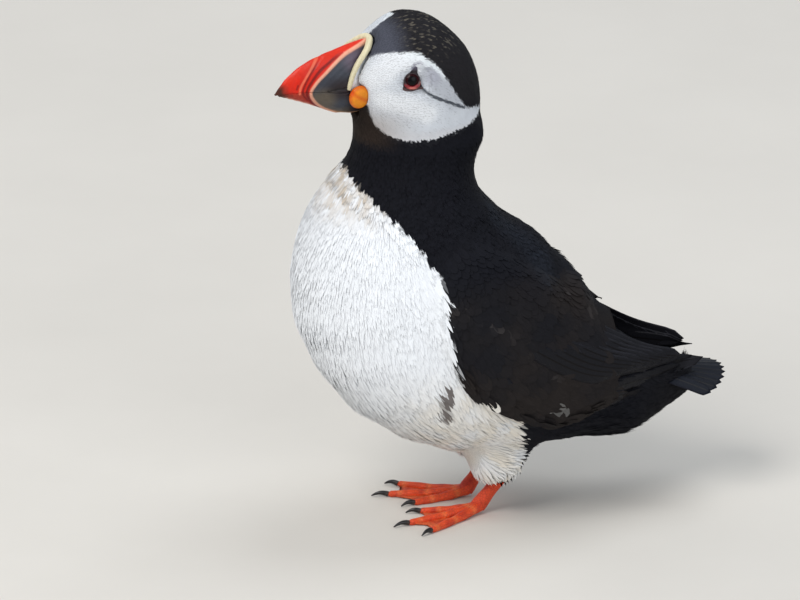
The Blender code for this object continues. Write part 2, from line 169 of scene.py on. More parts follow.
def ease(low, high, value):
    """0 below low, 1 above high, and smooth between them."""
    share = np.clip((value - low) / (high - low), 0, 1)
    return share * share * (3 - 2 * share)


def unit(rows):
    """Each row at length one."""
    return rows / np.maximum(np.linalg.norm(rows, axis=-1, keepdims=True), 1e-9)


def read_rows(source, field, width=3):
    """The values of a mesh's points, or of a kept layer, as rows of numbers."""
    rows = np.empty(len(source) * width, np.float32)
    source.foreach_get(field, rows)
    return rows.reshape(-1, width).astype(float)


def places(mesh):
    """A mesh's points."""
    return read_rows(mesh.vertices, "co")


def directions(mesh):
    """A mesh's outward direction at each point."""
    return read_rows(mesh.vertices, "normal")


def corner_points(mesh):
    """The point that each corner of each face stands on."""
    corners = np.empty(len(mesh.loops), np.int32)
    mesh.loops.foreach_get("vertex_index", corners)
    return corners


def move_to(mesh, rows):
    """Puts a mesh's points at new places, in metres."""
    mesh.vertices.foreach_set("co", rows.astype(np.float32).ravel())
    mesh.update()


def note(mesh, name, kind, values, where="POINT"):
    """Keeps one value for each point or corner of a mesh."""
    layer = mesh.attributes.get(name) or mesh.attributes.new(name, kind, where)
    number = np.int32 if kind == "INT" else np.float32
    layer.data.foreach_set(FIELDS[kind], np.asarray(values, number).ravel())


def tinted(thing, rows):
    """Gives each point of a piece its colour."""
    note(thing.data, "tint", "FLOAT_COLOR", np.column_stack([rows, np.ones(len(rows))]))
    return thing


def solid_tree(meshes):
    """The faces of some meshes, ready to be looked for."""
    points = []
    faces = []
    for mesh in meshes:
        start = len(points)
        points += [vert.co.copy() for vert in mesh.vertices]
        faces += [[start + corner for corner in face.vertices] for face in mesh.polygons]
    return BVHTree.FromPolygons(points, faces)


def gather(parts):
    """Several parts' points, faces and notes as one."""
    points, faces, notes = [], [], []
    start = 0
    for rows, some, kept in parts:
        points.append(rows)
        notes.append(kept)
        faces += [tuple(corner + start for corner in face) for face in some]
        start += len(rows)
    return np.vstack(points), faces, np.concatenate(notes)


def smooth(mesh):
    """Shades a mesh's faces as one rounded surface."""
    mesh.polygons.foreach_set("use_smooth", [True] * len(mesh.polygons))


def piece_of(name, points, faces, material):
    """A rounded mesh object from table millimetres."""
    mesh = bpy.data.meshes.new(name)
    mesh.from_pydata(to_frame(points).tolist(), [], [list(map(int, face)) for face in faces])
    mesh.update()
    smooth(mesh)
    mesh.materials.append(material)
    return add_object(name, mesh)


def freeze(thing):
    """Applies a piece's modifiers, and leaves a plain mesh."""
    graph = bpy.context.evaluated_depsgraph_get()
    made = bpy.data.meshes.new_from_object(thing.evaluated_get(graph))
    thing.modifiers.clear()
    thing.data = made
    return thing


def face_out(thing, merge=0.0):
    """Turns the faces outwards, once points closer than merge are one."""
    work = bmesh.new()
    work.from_mesh(thing.data)
    if merge:
        bmesh.ops.remove_doubles(work, verts=work.verts, dist=merge)
    bmesh.ops.recalc_face_normals(work, faces=work.faces)
    work.to_mesh(thing.data)
    work.free()
    return thing


def settle(thing, slot, *nodes):
    """Puts a finished piece on the bird and hides the solids it stands for; slot is not used."""
    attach(thing, "root")
    if nodes:
        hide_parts(*nodes)
    return thing


# ---------------------------------------------------------------- the head's turn

HEAD_TURN = math.radians(10)
HEAD_TILT = math.radians(9)
HEAD_PIVOT = np.array([0.0, -32.0, 195.0])
TURN_START = 179
TURN_END = 190


def head_matrices(share):
    """The head's turn and tilt for each share of them."""
    turn = HEAD_TURN * np.atleast_1d(share)
    tilt = HEAD_TILT * np.atleast_1d(share)
    zero = np.zeros_like(turn)
    one = np.ones_like(turn)
    cos, sin = np.cos(turn), np.sin(turn)
    about_z = np.array([[cos, -sin, zero], [sin, cos, zero], [zero, zero, one]])
    cos, sin = np.cos(tilt), np.sin(tilt)
    about_y = np.array([[cos, zero, sin], [zero, one, zero], [-sin, zero, cos]])
    return np.einsum("ijn,jkn->nik", about_z, about_y)


HEAD_SPIN = head_matrices(1.0)[0]


def pose_head(points):
    """Points of a straight head, turned and tilted as the bird holds it."""
    return (np.atleast_2d(points) - HEAD_PIVOT) @ HEAD_SPIN.T + HEAD_PIVOT


def straight_head(points):
    """Points of the bird as they would be with its head held straight."""
    spins = head_matrices(ease(TURN_START, TURN_END, points[:, 2]))
    return np.einsum("nji,nj->ni", spins, points - HEAD_PIVOT) + HEAD_PIVOT


def head_set(thing):
    """Turns a piece of the straight head as the head is held."""
    move_to(thing.data, to_frame(pose_head(to_table(places(thing.data)))))
    return thing


# ---------------------------------------------------------------- plumage: colours

def paint(red, green, blue):
    """A paint as it looks, 0 to 255, turned into light."""
    shown = np.array([red, green, blue]) / 255
    return np.where(shown <= 0.04045, shown / 12.92, ((shown + 0.055) / 1.055) ** 2.4)


BREAST_WHITE = paint(238, 242, 247)
# Painted shade on the lower belly: greyer, and warm buff towards the front.
BELLY_SHADE = paint(222, 224, 226)
BELLY_WARM_SHADE = paint(226, 211, 184)
STAIN = paint(176, 150, 108)
FACE_GREY = paint(214, 219, 226)
FACE_WARM = paint(180, 174, 172)
FACE_PALE = paint(238, 241, 245)
FACE_SHADE = paint(182, 186, 194)
FACE_WHITE = paint(240, 246, 250)
FACE_LILAC = paint(150, 148, 168)
BROW_FOLD_SHADE = paint(104, 98, 120)
FOLD_SHADE = paint(62, 68, 76)
CROWN = paint(38, 37, 40)
CROWN_FLECK = paint(122, 116, 104)
# Slate grey of the forehead, partly its own colour and partly painted sheen.
FOREHEAD_SLATE_SHEEN = paint(84, 87, 99)
COLLAR = paint(18, 19, 25)
CHIN = paint(46, 38, 34)
MANTLE = paint(19, 20, 26)
WING_BLACK = paint(25, 25, 29)
WING_BROWN = paint(37, 33, 32)
WING_SHEEN = paint(40, 46, 56)
SCUFF = paint(84, 79, 78)
SPOT_GREY = paint(150, 150, 148)
TUFT_BROWN = paint(64, 48, 42)
RUMP = paint(23, 23, 27)

# Where the grey face ends, seen from the side of a straight head: (y, z).
FACE_EDGE = (
    (-72, 210), (-66, 207), (-58.8, 201.8), (-57.8, 197.6), (-54.6, 191.2), (-50.3, 187.2), (-45, 184.8),
    (-38.8, 183.2), (-32.1, 183), (-24.2, 184.6), (-15.3, 187), (-6.4, 189.2), (-1.6, 192.4),
    (-9.6, 195.9), (-13.7, 197.7), (-18, 203.6), (-22.5, 210.5), (-27.1, 218), (-31.9, 223.3),
    (-36.4, 226.8), (-40, 232), (-42, 242), (-72, 242),
)
# Half the dark crown stripe, and how far its middle sits to the left, by y.
STRIPE_Y = (-60, -57, -50, -46, -42, -38, -34)
STRIPE_HALF = (4.5, 5.4, 7.9, 9.1, 10.2, 13.1, 19.0)
STRIPE_SHIFT = (1.9, 2.6, 4.6, 5.6, 6.0, 4.1, 0.0)
# The folds behind and over the eye, and lighter and darker strokes of the cheek: (y, z).
FOLD = ((-37.7, 212.1), (-35.5, 209.9), (-29.9, 206.2), (-21.9, 202.1), (-15.0, 198.2))
BROW_FOLD = ((-40.6, 220.6), (-39.2, 222.0), (-37.3, 223.0), (-35.4, 222.6), (-33.6, 220.6), (-32.4, 218.6))
CHEEK_SHADE = ((-33, 217), (-27, 211), (-20, 204))
CHEEK_LIGHT = ((-54, 206), (-44, 204), (-34, 199))
BROW_LIGHT = ((-58, 214), (-50, 222), (-40, 226))
EYE_LIGHT = ((-37.8, 216.5), (-38.0, 221.7))
# The eye of a straight head: its middle, the way it looks, and the dark skin round it (back, up).
EYE_CENTRE = np.array([17.74, -40.54, 214.36])
EYE_OUT = np.array([0.927, -0.269, 0.259])
EYE_BACK = np.array([0.279, 0.960, -0.002])
EYE_UP = np.array([-0.249, 0.074, 0.966])
EYE_OUTLINE = (
    (1.3, 6.9), (-0.1, 5.3), (-1.4, 3.7), (-2.6, 2.1), (-3.5, 0.4), (-3.95, -1.6), (-4.2, -3.9), (-3.9, -4.5),
    (-1.8, -5.2), (0.6, -5.1), (3.9, -4.3), (5.5, -4.0), (4.75, -2.3), (3.9, -0.6), (3.35, 0.9), (2.6, 3.3),
    (2.3, 6.2),
)
# The lower edge of the black coat, seen from the side.
BLACK_EDGE_Z = (
    14, 18, 30, 36, 44, 52, 58, 64.6, 69.3, 82.8, 101, 117, 124, 136, 147.5, 156, 160.4, 164, 167.5, 172,
)
BLACK_EDGE_Y = (
    13, 14, 12.5, 11.5, 10, 8, 4, -2.9, -15.8, -23.4, -26.6, -27.7, -28.6, -35.6, -45.5, -54.7, -60.2,
    -63, -67,
    -90,
)
# Painted sheen along the folded wing, and marks on the wing and the flank, seen from the side: (y, z).
SHEEN_LINE = ((4, 145), (14, 134), (24, 120))
SCUFF_LINES = (
    ((-28, 114), (-17, 111), (-3, 101), (8, 91)), ((28, 111), (37, 103), (45, 96)), ((33, 80), (37, 74)),
    ((22, 78), (26, 75)),
)
DARK_TUFT = ((-26, 73), (-27.5, 66), (-26.5, 59))
WHITE_SPOT = ((20, 59.5), (29, 55.5))

STRIPE_FROM = 221
HEAD_START, HEAD_END = 176, 181
PLATE_BACK = 0.6
RIPPLE_WAVES = 7
RIPPLE_HEIGHT = 3.2


def ripple(points, size, seed):
    """A soft mottle between -1 and 1, the same on every run."""
    draw = np.random.default_rng(seed)
    total = np.zeros(len(points))
    for _ in range(RIPPLE_WAVES):
        wave = draw.normal(size=3)
        wave *= ROUND / (size * np.linalg.norm(wave) * draw.uniform(0.6, 1.6))
        total += np.sin(points @ wave + draw.uniform(0, ROUND))
    return np.clip(total / RIPPLE_HEIGHT, -1, 1)


def depth_inside(outline, y, z):
    """How far inside a closed outline each place lies, in mm; outside is below zero."""
    corners = np.asarray(outline, float)
    inside = np.zeros(len(y), bool)
    for (y1, z1), (y2, z2) in zip(corners, np.roll(corners, -1, axis=0)):
        if z1 != z2:
            inside ^= ((z1 > z) != (z2 > z)) & (y < (y2 - y1) * (z - z1) / (z2 - z1) + y1)
    nearest = path_gap([*corners, corners[0]], y, z)
    return np.where(inside, nearest, -nearest)


def line_gap(start, end, y, z):
    """How far each place lies from a straight stroke."""
    step = np.subtract(end, start)
    share = np.clip(((y - start[0]) * step[0] + (z - start[1]) * step[1]) / (step @ step), 0, 1)
    return np.hypot(y - start[0] - share * step[0], z - start[1] - share * step[1])


def path_gap(path, y, z):
    """How far each place lies from a bent stroke."""
    return np.min([line_gap(a, b, y, z) for a, b in zip(path[:-1], path[1:])], axis=0)


def stroke(path, y, z, far, close):
    """1 within close mm of a bent stroke, and 0 beyond far."""
    return ease(far, close, path_gap(path, y, z))


def spot(y, z, far, close):
    """1 within close mm of nought, and 0 beyond far."""
    return ease(far, close, np.hypot(y, z))


def blend(under, over, share):
    """One colour laid over another."""
    return under + (over - under) * np.asarray(share)[:, None]


def layered(base, count, *coats):
    """A plain colour with others laid over it in turn, each by its share."""
    colour = np.tile(base, (count, 1))
    for over, share in coats:
        colour = blend(colour, over, share)
    return colour


def face_depth(head):
    """How far each place of a straight head lies inside the grey face, in mm."""
    side = depth_inside(FACE_EDGE, head[:, 1], head[:, 2])
    half = np.interp(head[:, 1], STRIPE_Y, STRIPE_HALF)
    middle = np.interp(head[:, 1], STRIPE_Y, STRIPE_SHIFT)
    stripe = np.abs(head[:, 0] - middle) - half
    return np.where(head[:, 2] > STRIPE_FROM, np.minimum(side, stripe), side)


def face_colour(head):
    """The grey cheeks: cool above, warm and darker towards the chin, pale over the fold."""
    y, z = head[:, 1], head[:, 2]
    low_front = ease(-34, -58, y) * ease(206, 190, z)
    rim = ease(2.4, 0.9, face_depth(head)) * ease(-48, -42, y) * ease(212, 218, z)
    colour = layered(
        FACE_GREY, len(y),
        (FACE_SHADE, 0.8 * stroke(CHEEK_SHADE, y, z, 8, 2)),
        (FACE_PALE, 0.9 * stroke(CHEEK_LIGHT, y, z, 7, 2)),
        (FACE_WARM, np.clip(low_front * 0.9, 0, 1)),
        (FACE_WARM, 0.35 * ease(192, 186, z)),
        (FACE_PALE, 0.8 * stroke(BROW_LIGHT, y, z, 7, 2)),
        (FACE_LILAC, 0.35 * spot(y + 31, z - 216, 6, 1)),
        # Painted shade: dark lilac-grey along the fold over the eye.
        (BROW_FOLD_SHADE, 0.8 * stroke(BROW_FOLD, y, z, 1.7, 0.2) * ease(-32, -36, y)),
        (FACE_PALE, 0.8 * stroke(EYE_LIGHT, y, z, 1.4, 0.4)),
        (FACE_WHITE, 0.9 * rim),
        # Painted shade: a dark line along the fold behind the eye.
        (FOLD_SHADE, 0.95 * stroke(FOLD, y, z, 0.95, 0.35)),
    )
    return colour * (1 + 0.025 * ripple(head, 3, 5))[:, None]


def eye_depth(head):
    """How far inside the dark skin of the eye each place of a straight head lies, in mm."""
    away = np.column_stack([np.abs(head[:, 0]), head[:, 1], head[:, 2]]) - EYE_CENTRE
    depth = depth_inside(EYE_OUTLINE, away @ EYE_BACK + PLATE_BACK, away @ EYE_UP)
    return np.where(away @ EYE_OUT > 0, depth, -99.0)


def crown_colour(head):
    """The dark cap, flecked with pale tips, and the brown chin."""
    y, z = head[:, 1], head[:, 2]
    flecks = ease(0.5, 0.9, ripple(head, 0.8, 8)) * ease(-4, -14, y) * ease(220, 229, z) * ease(-46, -38, y)
    return layered(
        CROWN, len(y),
        # The forehead's slate tone: partly painted sheen.
        (FOREHEAD_SLATE_SHEEN, ease(-38, -50, y) * ease(216, 223, z) * 0.9),
        (CROWN_FLECK, 0.5 * flecks),
        (COLLAR, ease(205, 190, z)),
        (CHIN, ease(-40, -54, y) * ease(204, 196, z)),
    )


def black_depth(body):
    """How far each place lies inside the black coat, in mm, seen from the side."""
    return body[:, 1] - np.interp(body[:, 2], BLACK_EDGE_Z, BLACK_EDGE_Y)


def white_colour(body):
    """The white breast, with its stain under the collar, and painted shade that makes the belly greyer and
    buff below.
    """
    x, y, z = body.T
    stain = ease(142, 158, z) * ease(-40, -58, y) * (0.55 + 0.45 * ripple(body, 5, 21))
    warm_shade = ease(88, 55, z) * ease(-60, -20, y) * (0.6 + 0.4 * ripple(body, 9, 22))
    tuft = ease(3.0, 1.4, path_gap(DARK_TUFT, y, z) + 0.9 * ripple(body, 2.0, 24)) * (x > 0)
    colour = layered(
        BREAST_WHITE, len(y),
        # Painted shade: the lower belly greyer, then buff low at the front.
        (BELLY_SHADE, 0.6 * ease(95, 50, z)),
        (STAIN, np.clip(0.62 * stain, 0, 1)),
        (BELLY_WARM_SHADE, np.clip(0.55 * warm_shade, 0, 1)),
        (TUFT_BROWN, 0.85 * tuft),
    )
    streaks = ripple(body * (1, 1, 0.22), 3.5, 23)
    return colour * (1 + 0.03 * streaks)[:, None]


def wing_colour(body):
    """The black of the folded wing, a little browner in places, with a few worn marks."""
    y, z = body[:, 1], body[:, 2]
    fine = ripple(body, 1.6, 37)
    worn = ease(0.1, 0.9, fine)
    return layered(
        WING_BLACK, len(y),
        (WING_BROWN, 0.5 + 0.5 * ripple(body, 24, 36)),
        (MANTLE, ease(104, 128, z)),
        *[(SCUFF, 0.28 * stroke(line, y, z, 3.5, 0.8) * worn) for line in SCUFF_LINES],
        (SPOT_GREY, 0.6 * ease(1.5, 0.5, path_gap(WHITE_SPOT, y, z) + 0.5 * fine)),
    )


def plumage(body, wings):
    """The colour of the coat at each place; wings is 1 on the arms of the wings."""
    x, y, z = body.T
    head = straight_head(body)
    ragged = 0.15 * ripple(head, 2.5, 31) + 0.1 * ripple(head, 1.1, 32)
    on_head = blend(crown_colour(head), face_colour(head), ease(-0.4, 0.4, face_depth(head) + ragged))
    sheen = stroke(SHEEN_LINE, y, z, 8, 2) * ease(6, 14, np.abs(x))
    dark = layered(
        COLLAR, len(y),
        (MANTLE, ease(165, 140, z)),
        (RUMP, ease(60, 80, y)),
        (wing_colour(body), wings),
        # Painted sheen: a bluish highlight along each shoulder.
        (WING_SHEEN, 0.42 * sheen * (0.7 + 0.3 * ripple(body, 3, 33))),
    )
    edge = black_depth(body) + 0.7 * ripple(body, 6, 34) + 0.5 * ripple(body, 2.2, 35)
    edge += 4 * wings * ease(76, 66, z)
    on_body = blend(white_colour(body), dark, ease(-0.5, 0.5, edge))
    return blend(on_body, on_head, ease(HEAD_START, HEAD_END, z))


# ---------------------------------------------------------------- plumage: lie and length

LIE_REACH = 16.0
# How the coat lies by place on the side view: y, z, then the way it runs (y, z) and its length.
LIE = (
    ("bill_base", -60, 214, 1.0, 0.15, 1.3), ("forehead", -52, 231, 1.0, 0.45, 1.8),
    ("crown", -36, 238, 1.0, -0.05, 3.0), ("hind_crown", -16, 228, 0.75, -0.65, 3.4),
    ("nape", -5, 205, 0.3, -1.0, 3.8), ("lore", -57, 202, 1.0, -0.3, 1.4),
    ("cheek", -38, 202, 1.0, -0.2, 1.8), ("ear", -20, 200, 0.8, -0.55, 2.2),
    ("chin", -58, 190, 0.5, -0.85, 2.4), ("throat", -58, 178, 0.05, -1.0, 4.2),
    ("neck", -30, 170, 0.12, -1.0, 5.5), ("hind_neck", -2, 175, 0.2, -1.0, 5.0),
    ("collar", -66, 158, -0.1, -1.0, 6.0), ("neck_side", -38, 148, 0.3, -1.0, 6.5),
    ("mantle", 4, 150, 0.55, -0.8, 6.0), ("upper_breast", -88, 126, 0.05, -1.0, 7.5),
    ("breast", -82, 95, 0.35, -0.95, 8.5), ("lower_breast", -62, 62, 0.8, -0.6, 9.5),
    ("belly", -30, 38, 1.0, -0.3, 10.0), ("vent", 0, 30, 1.0, -0.1, 9.5),
    ("undertail", 40, 34, 1.0, 0.2, 10.0), ("tail_roots", 80, 52, 1.0, 0.15, 10.0),
    ("breast_side", -50, 112, 0.3, -1.0, 8.0), ("flank", -25, 74, 0.5, -0.85, 10.5),
    ("rear_flank", 6, 54, 0.75, -0.65, 11.0), ("back", 25, 128, 0.75, -0.65, 6.0),
    ("lower_back", 52, 100, 0.85, -0.55, 6.5), ("rump", 78, 76, 0.95, -0.4, 10.0),
    ("upper_tail", 94, 62, 1.0, -0.1, 10.0), ("shoulder", -20, 122, 0.6, -0.8, 7.0),
    ("arm", 25, 90, 0.85, -0.5, 10.0), ("wing_end", 70, 72, 0.95, -0.3, 12.0),
    ("thigh", 3, 24, 0.1, -1.0, 4.5), ("thigh_front", -12, 28, 0.3, -1.0, 5.0),
)


def coat_lie(body, out):
    """The way each feather runs along the skin, and its length in mm."""
    anchors = np.array([row[1:] for row in LIE])
    gaps = (body[:, 1:2] - anchors[:, 0]) ** 2 + (body[:, 2:3] - anchors[:, 1]) ** 2
    weights = 1 / (gaps + LIE_REACH) ** 2
    weights /= weights.sum(axis=1, keepdims=True)
    mixed = weights @ anchors[:, 2:]
    way = np.column_stack([np.zeros(len(body)), mixed[:, 0], mixed[:, 1]])
    way -= out * np.sum(way * out, axis=1, keepdims=True)
    return unit(way), mixed[:, 2]


# ---------------------------------------------------------------- finishes


class Desk:
    """A node tree, and the moves that build it."""

    def __init__(self, tree):
        self.tree = tree

    def put(self, node, title, value):
        """Sets a socket, or joins another socket to it."""
        socket = node.inputs[title]
        if isinstance(value, bpy.types.NodeSocket):
            self.tree.links.new(value, socket)
        else:
            socket.default_value = value

    def add(self, kind, settings=(), values=()):
        """Adds a node with its settings and its sockets' values."""
        node = self.tree.nodes.new(kind)
        for key, value in dict(settings).items():
            setattr(node, key, value)
        for title, value in dict(values).items():
            self.put(node, title, value)
        return node


class Finish(Desk):
    """A procedural finish on one shader."""

    def __init__(self, name, roughness, **constants):
        self.material = bpy.data.materials.new(name)
        self.material.use_nodes = True
        super().__init__(self.material.node_tree)
        self.shader = self.tree.nodes["Principled BSDF"]
        self.shader.inputs["Roughness"].default_value = roughness
        for title, value in constants.items():
            self.shader.inputs[title.replace("_", " ")].default_value = value

    def read(self, name, output="Fac"):
        """A value that the mesh carries."""
        return self.add("ShaderNodeAttribute", {"attribute_name": name}).outputs[output]

    def here(self):
        """The place on the piece itself."""
        return self.add("ShaderNodeTexCoord").outputs["Object"]

    def math(self, what, first, second=0.0):
        """A sum."""
        return self.add("ShaderNodeMath", {"operation": what}, {0: first, 1: second}).outputs[0]

    def times(self, first, second):
        """A product."""
        return self.math("MULTIPLY", first, second)

    def span(self, value, low, high, bottom, top):
        """A value moved from one span to another, and kept in it."""
        values = {0: value, 1: low, 2: high, 3: bottom, 4: top}
        return self.add("ShaderNodeMapRange", {"clamp": True}, values).outputs[0]

    def noise(self, where, scale, detail=3.0):
        """A fine mottle, 0 to 1."""
        values = {"Vector": where, "Scale": scale, "Detail": detail, "Roughness": 0.55}
        return self.add("ShaderNodeTexNoise", {}, values).outputs["Fac"]

    def place(self, x, y, z):
        """Three values as one place."""
        return self.add("ShaderNodeCombineXYZ", {}, {"X": x, "Y": y, "Z": z}).outputs[0]

    def mix(self, share, first, second, way="MIX"):
        """Two colours in shares."""
        settings = {"data_type": "RGBA", "blend_type": way, "clamp_factor": True}
        return self.add("ShaderNodeMix", settings, {0: share, 6: first, 7: second}).outputs[2]

    def own_tint(self, light):
        """The piece's own tint, made lighter or darker."""
        tone = self.add("ShaderNodeCombineColor", {}, {0: light, 1: light, 2: light}).outputs[0]
        return self.mix(1.0, self.read("tint", "Color"), tone, "MULTIPLY")

    def dye(self, colour):
        """Joins the colour."""
        self.put(self.shader, "Base Color", colour)

    def dull(self, roughness):
        """Joins a roughness that varies."""
        self.put(self.shader, "Roughness", roughness)

    def emboss(self, height, depth, form=None):
        """Joins a relief of this depth in metres, over the form's own direction or a softer one."""
        bump = self.add("ShaderNodeBump", {}, {"Height": height, "Distance": depth})
        if form is not None:
            self.put(bump, "Normal", form)
        self.put(self.shader, "Normal", bump.outputs[0])

    def soft_form(self, share):
        """The direction of the tuft's face, drawn by this share towards that of the body under it."""
        shape = self.add("ShaderNodeNewGeometry").outputs["Normal"]
        values = {0: share, 4: shape, 5: self.read("out", "Vector")}
        mixed = self.add("ShaderNodeMix", {"data_type": "VECTOR"}, values)
        return self.add("ShaderNodeVectorMath", {"operation": "NORMALIZE"}, {0: mixed.outputs[1]}).outputs[0]


def rgb(red, green, blue):
    """A paint for a socket."""
    return (*paint(red, green, blue), 1)


VANE_SHIFT = 40.0
# How deep each finish is embossed, in metres.
BARB_RELIEF = 0.00006
VANE_RELIEF = 0.00008
PORE_RELIEF = 0.0002
FLOOR_RELIEF = 0.0005


def feather_finish(name, roughness, barbs, contrast, root, softness, gloss):
    """Barbed feather: the coat's own tint, streaked along each barb, and darkened towards the root by painted
    shade.
    """
    work = Finish(name, roughness, Specular_IOR_Level=gloss)
    along = work.read("along")
    shift = work.times(work.read("shade"), VANE_SHIFT)
    stripe = work.place(work.times(work.read("across"), barbs), work.times(along, 1.4), shift)
    barb = work.noise(stripe, 1.0, 2.0)
    light = work.span(barb, 0.3, 0.7, 1 - contrast, 1 + contrast)
    # root sets how dark the painted shade at each tuft's root is.
    work.dye(work.own_tint(work.times(light, work.span(along, 0.0, 0.55, root, 1.0))))
    work.emboss(barb, BARB_RELIEF, work.soft_form(softness))
    return work.material


def skin_finish():
    """The skin that shows between the tufts, tinted as they are and finely pored."""
    work = Finish("coat_ground", 0.9, Specular_IOR_Level=0.1)
    down = work.noise(work.here(), 1800.0, 4.0)
    work.dye(work.own_tint(work.span(down, 0.25, 0.75, 0.62, 0.95)))
    work.emboss(down, PORE_RELIEF)
    return work.material


def floor_finish():
    """A pale matt floor with a faint grain."""
    work = Finish("pale_floor", 0.9)
    grain = work.noise(work.here(), 9.0, 4.0)
    work.dye(work.mix(grain, rgb(205, 201, 194), rgb(214, 210, 203)))
    work.emboss(grain, FLOOR_RELIEF)
    return work.material


def horn_finish(name, roughness, grain_size, grain, relief, **constants):
    """Horn or bare skin: the piece's own tint, with a fine grain in colour and relief."""
    work = Finish(name, roughness, **constants)
    here = work.here()
    fine = work.noise(here, grain_size, 4.0)
    broad = work.noise(here, grain_size * 0.14, 3.0)
    speckle = work.span(fine, 0.3, 0.7, 1 - grain, 1 + grain)
    mottle = work.span(broad, 0.3, 0.7, 0.93, 1.06)
    work.dye(work.own_tint(work.times(speckle, mottle)))
    work.dull(work.span(fine, 0.2, 0.8, roughness * 0.8, min(roughness * 1.25, 1.0)))
    work.emboss(fine, relief)
    return work.material


def scaled_finish(name, roughness, plate_size, relief):
    """Scaled skin: small plates with dark joints, tinted as the piece is."""
    work = Finish(name, roughness)
    here = work.here()
    sized = {"Vector": here, "Scale": plate_size}
    cells = work.add("ShaderNodeTexVoronoi", {"feature": "DISTANCE_TO_EDGE"}, sized)
    edge = work.span(cells.outputs["Distance"], 0.0, 0.12, 0.0, 1.0)
    broad = work.span(work.noise(here, 300.0), 0.3, 0.7, 0.9, 1.08)
    work.dye(work.own_tint(work.times(work.span(edge, 0.0, 1.0, 0.72, 1.04), broad)))
    work.dull(work.span(edge, 0.0, 1.0, min(roughness * 1.3, 1.0), roughness))
    work.emboss(edge, relief)
    return work.material


def flight_finish():
    """Flight feather: slanting barbs, a glossy shaft and worn, paler edges."""
    work = Finish("flight_feather", 0.5, Specular_IOR_Level=0.1)
    across = work.read("across")
    wide = work.math("ABSOLUTE", across)
    slant = work.math("ADD", work.times(work.read("along"), 120.0), work.times(wide, -14.0))
    shift = work.times(work.read("shade"), VANE_SHIFT)
    barb = work.noise(work.place(slant, work.times(across, 0.8), shift), 1.0, 2.0)
    dark = work.own_tint(work.span(barb, 0.3, 0.7, 0.78, 1.25))
    patches = work.span(work.noise(work.here(), 260.0), 0.35, 0.6, 0.2, 1.0)
    worn = work.times(work.span(wide, 0.8, 1.0, 0.0, 0.75), patches)
    shaft = work.span(wide, 0.05, 0.1, 1.0, 0.0)
    work.dye(work.mix(shaft, work.mix(worn, dark, rgb(50, 50, 58)), rgb(16, 14, 15)))
    work.dull(work.span(shaft, 0.0, 1.0, 0.46, 0.28))
    work.emboss(barb, VANE_RELIEF)
    return work.material


def eye_finish():
    """Wet eye: the painted iris under a clear, glossy coat."""
    work = Finish("wet_eye", 0.3, Coat_Weight=0.12, Coat_Roughness=0.04, Specular_IOR_Level=0.08)
    fleck = work.noise(work.here(), 2600.0, 3.0)
    work.dye(work.own_tint(work.span(fleck, 0.3, 0.7, 0.8, 1.2)))
    return work.material


# ---------------------------------------------------------------- the skin under the coat

FLESH = ("head", "neck", "trunk", "thigh_left", "thigh_right", "wing_left", "wing_right")
SKIN_GRAIN = 1.25
# How deep the skin lies, in mm, and as shares of a feather's length in each part of the coat.
COAT_BED = 0.1
WHITE_RISE = 0.022
FACE_RISE = 0.08
BLACK_RISE = 0.09
ARM_RISE = 0.05
FACE_FROM = 180
# Where the mantle flows over the folded wing, and the arm runs out into its long feathers: (y, z).
WING_SEAM = (
    (-29, 114), (-26, 126), (-22, 138), (-11, 140), (7, 134), (25, 123), (43, 108), (56, 94), (60, 80),
    (56, 66),
)
# How far the back is lowered (below zero) or filled along its ridge, in mm.
RIDGE_Y = (-6, 0, 4.6, 12.8, 21.5, 28, 31.5, 34, 37, 43.5, 49, 56)
RIDGE_Z = (150, 148, 145, 141, 135, 131, 126, 119, 114, 106, 99, 90)
RIDGE_LIFT = (0, -2.0, -3.5, -4.7, -5.0, -5.2, -3.6, 0, 3.6, 2.8, 0.8, 0)
# How far the nape is drawn in (below zero) or filled, in mm, by z.
NAPE_Z = (148, 154, 160, 166, 171, 176, 181, 186, 191)
NAPE_SHIFT = (0, -2.0, -2.7, -2.5, -1.3, 0.2, 1.1, 0.8, 0)
# The middle of the hollow that the eyeball leaves in the flesh, on the straight head.
SOCKET = (17.3, -39.8, 214.2)
SOCKET_REACH = (8.5, 6.5)
SOCKET_SWELL = 1.6
SWELL_REACH = 8.0
# Where each thigh runs into the belly: (y, z).
THIGH_TOP = ((-12, 33), (2, 34), (14, 34))
# The steps that even out the skin: all over without shrinking it, at the seams, at the eyes, and its lie.
FACET_STEPS = [0.55, -0.57] * 7 + [0.5, 0.5]
SEAM_STEPS = [0.5] * 90
SOCKET_STEPS = [0.5] * 260
LIE_STEPS = [0.5] * 12


def join_flesh():
    """Copies of the flesh solids as one loose mesh, each closed by itself."""
    joined = bmesh.new()
    for node in FLESH:
        solid = bmesh.new()
        solid.from_mesh(frame["nodes"][node].data)
        bmesh.ops.remove_doubles(solid, verts=solid.verts, dist=1e-6)
        copy = bpy.data.meshes.new(node + "_copy")
        solid.to_mesh(copy)
        solid.free()
        joined.from_mesh(copy)
        bpy.data.meshes.remove(copy)
    mesh = bpy.data.meshes.new("skin")
    joined.to_mesh(mesh)
    joined.free()
    return mesh


def keep_outside(mesh):
    """Leaves only the shell that has the most points."""
    work = bmesh.new()
    work.from_mesh(mesh)
    waiting = set(work.verts)
    shells = []
    while waiting:
        shell = [waiting.pop()]
        for vert in shell:
            for edge in vert.link_edges:
                other = edge.other_vert(vert)
                if other in waiting:
                    waiting.remove(other)
                    shell.append(other)
        shells.append(shell)
    shells.sort(key=len)
    for shell in shells[:-1]:
        bmesh.ops.delete(work, geom=shell, context="VERTS")
    work.to_mesh(mesh)
    work.free()


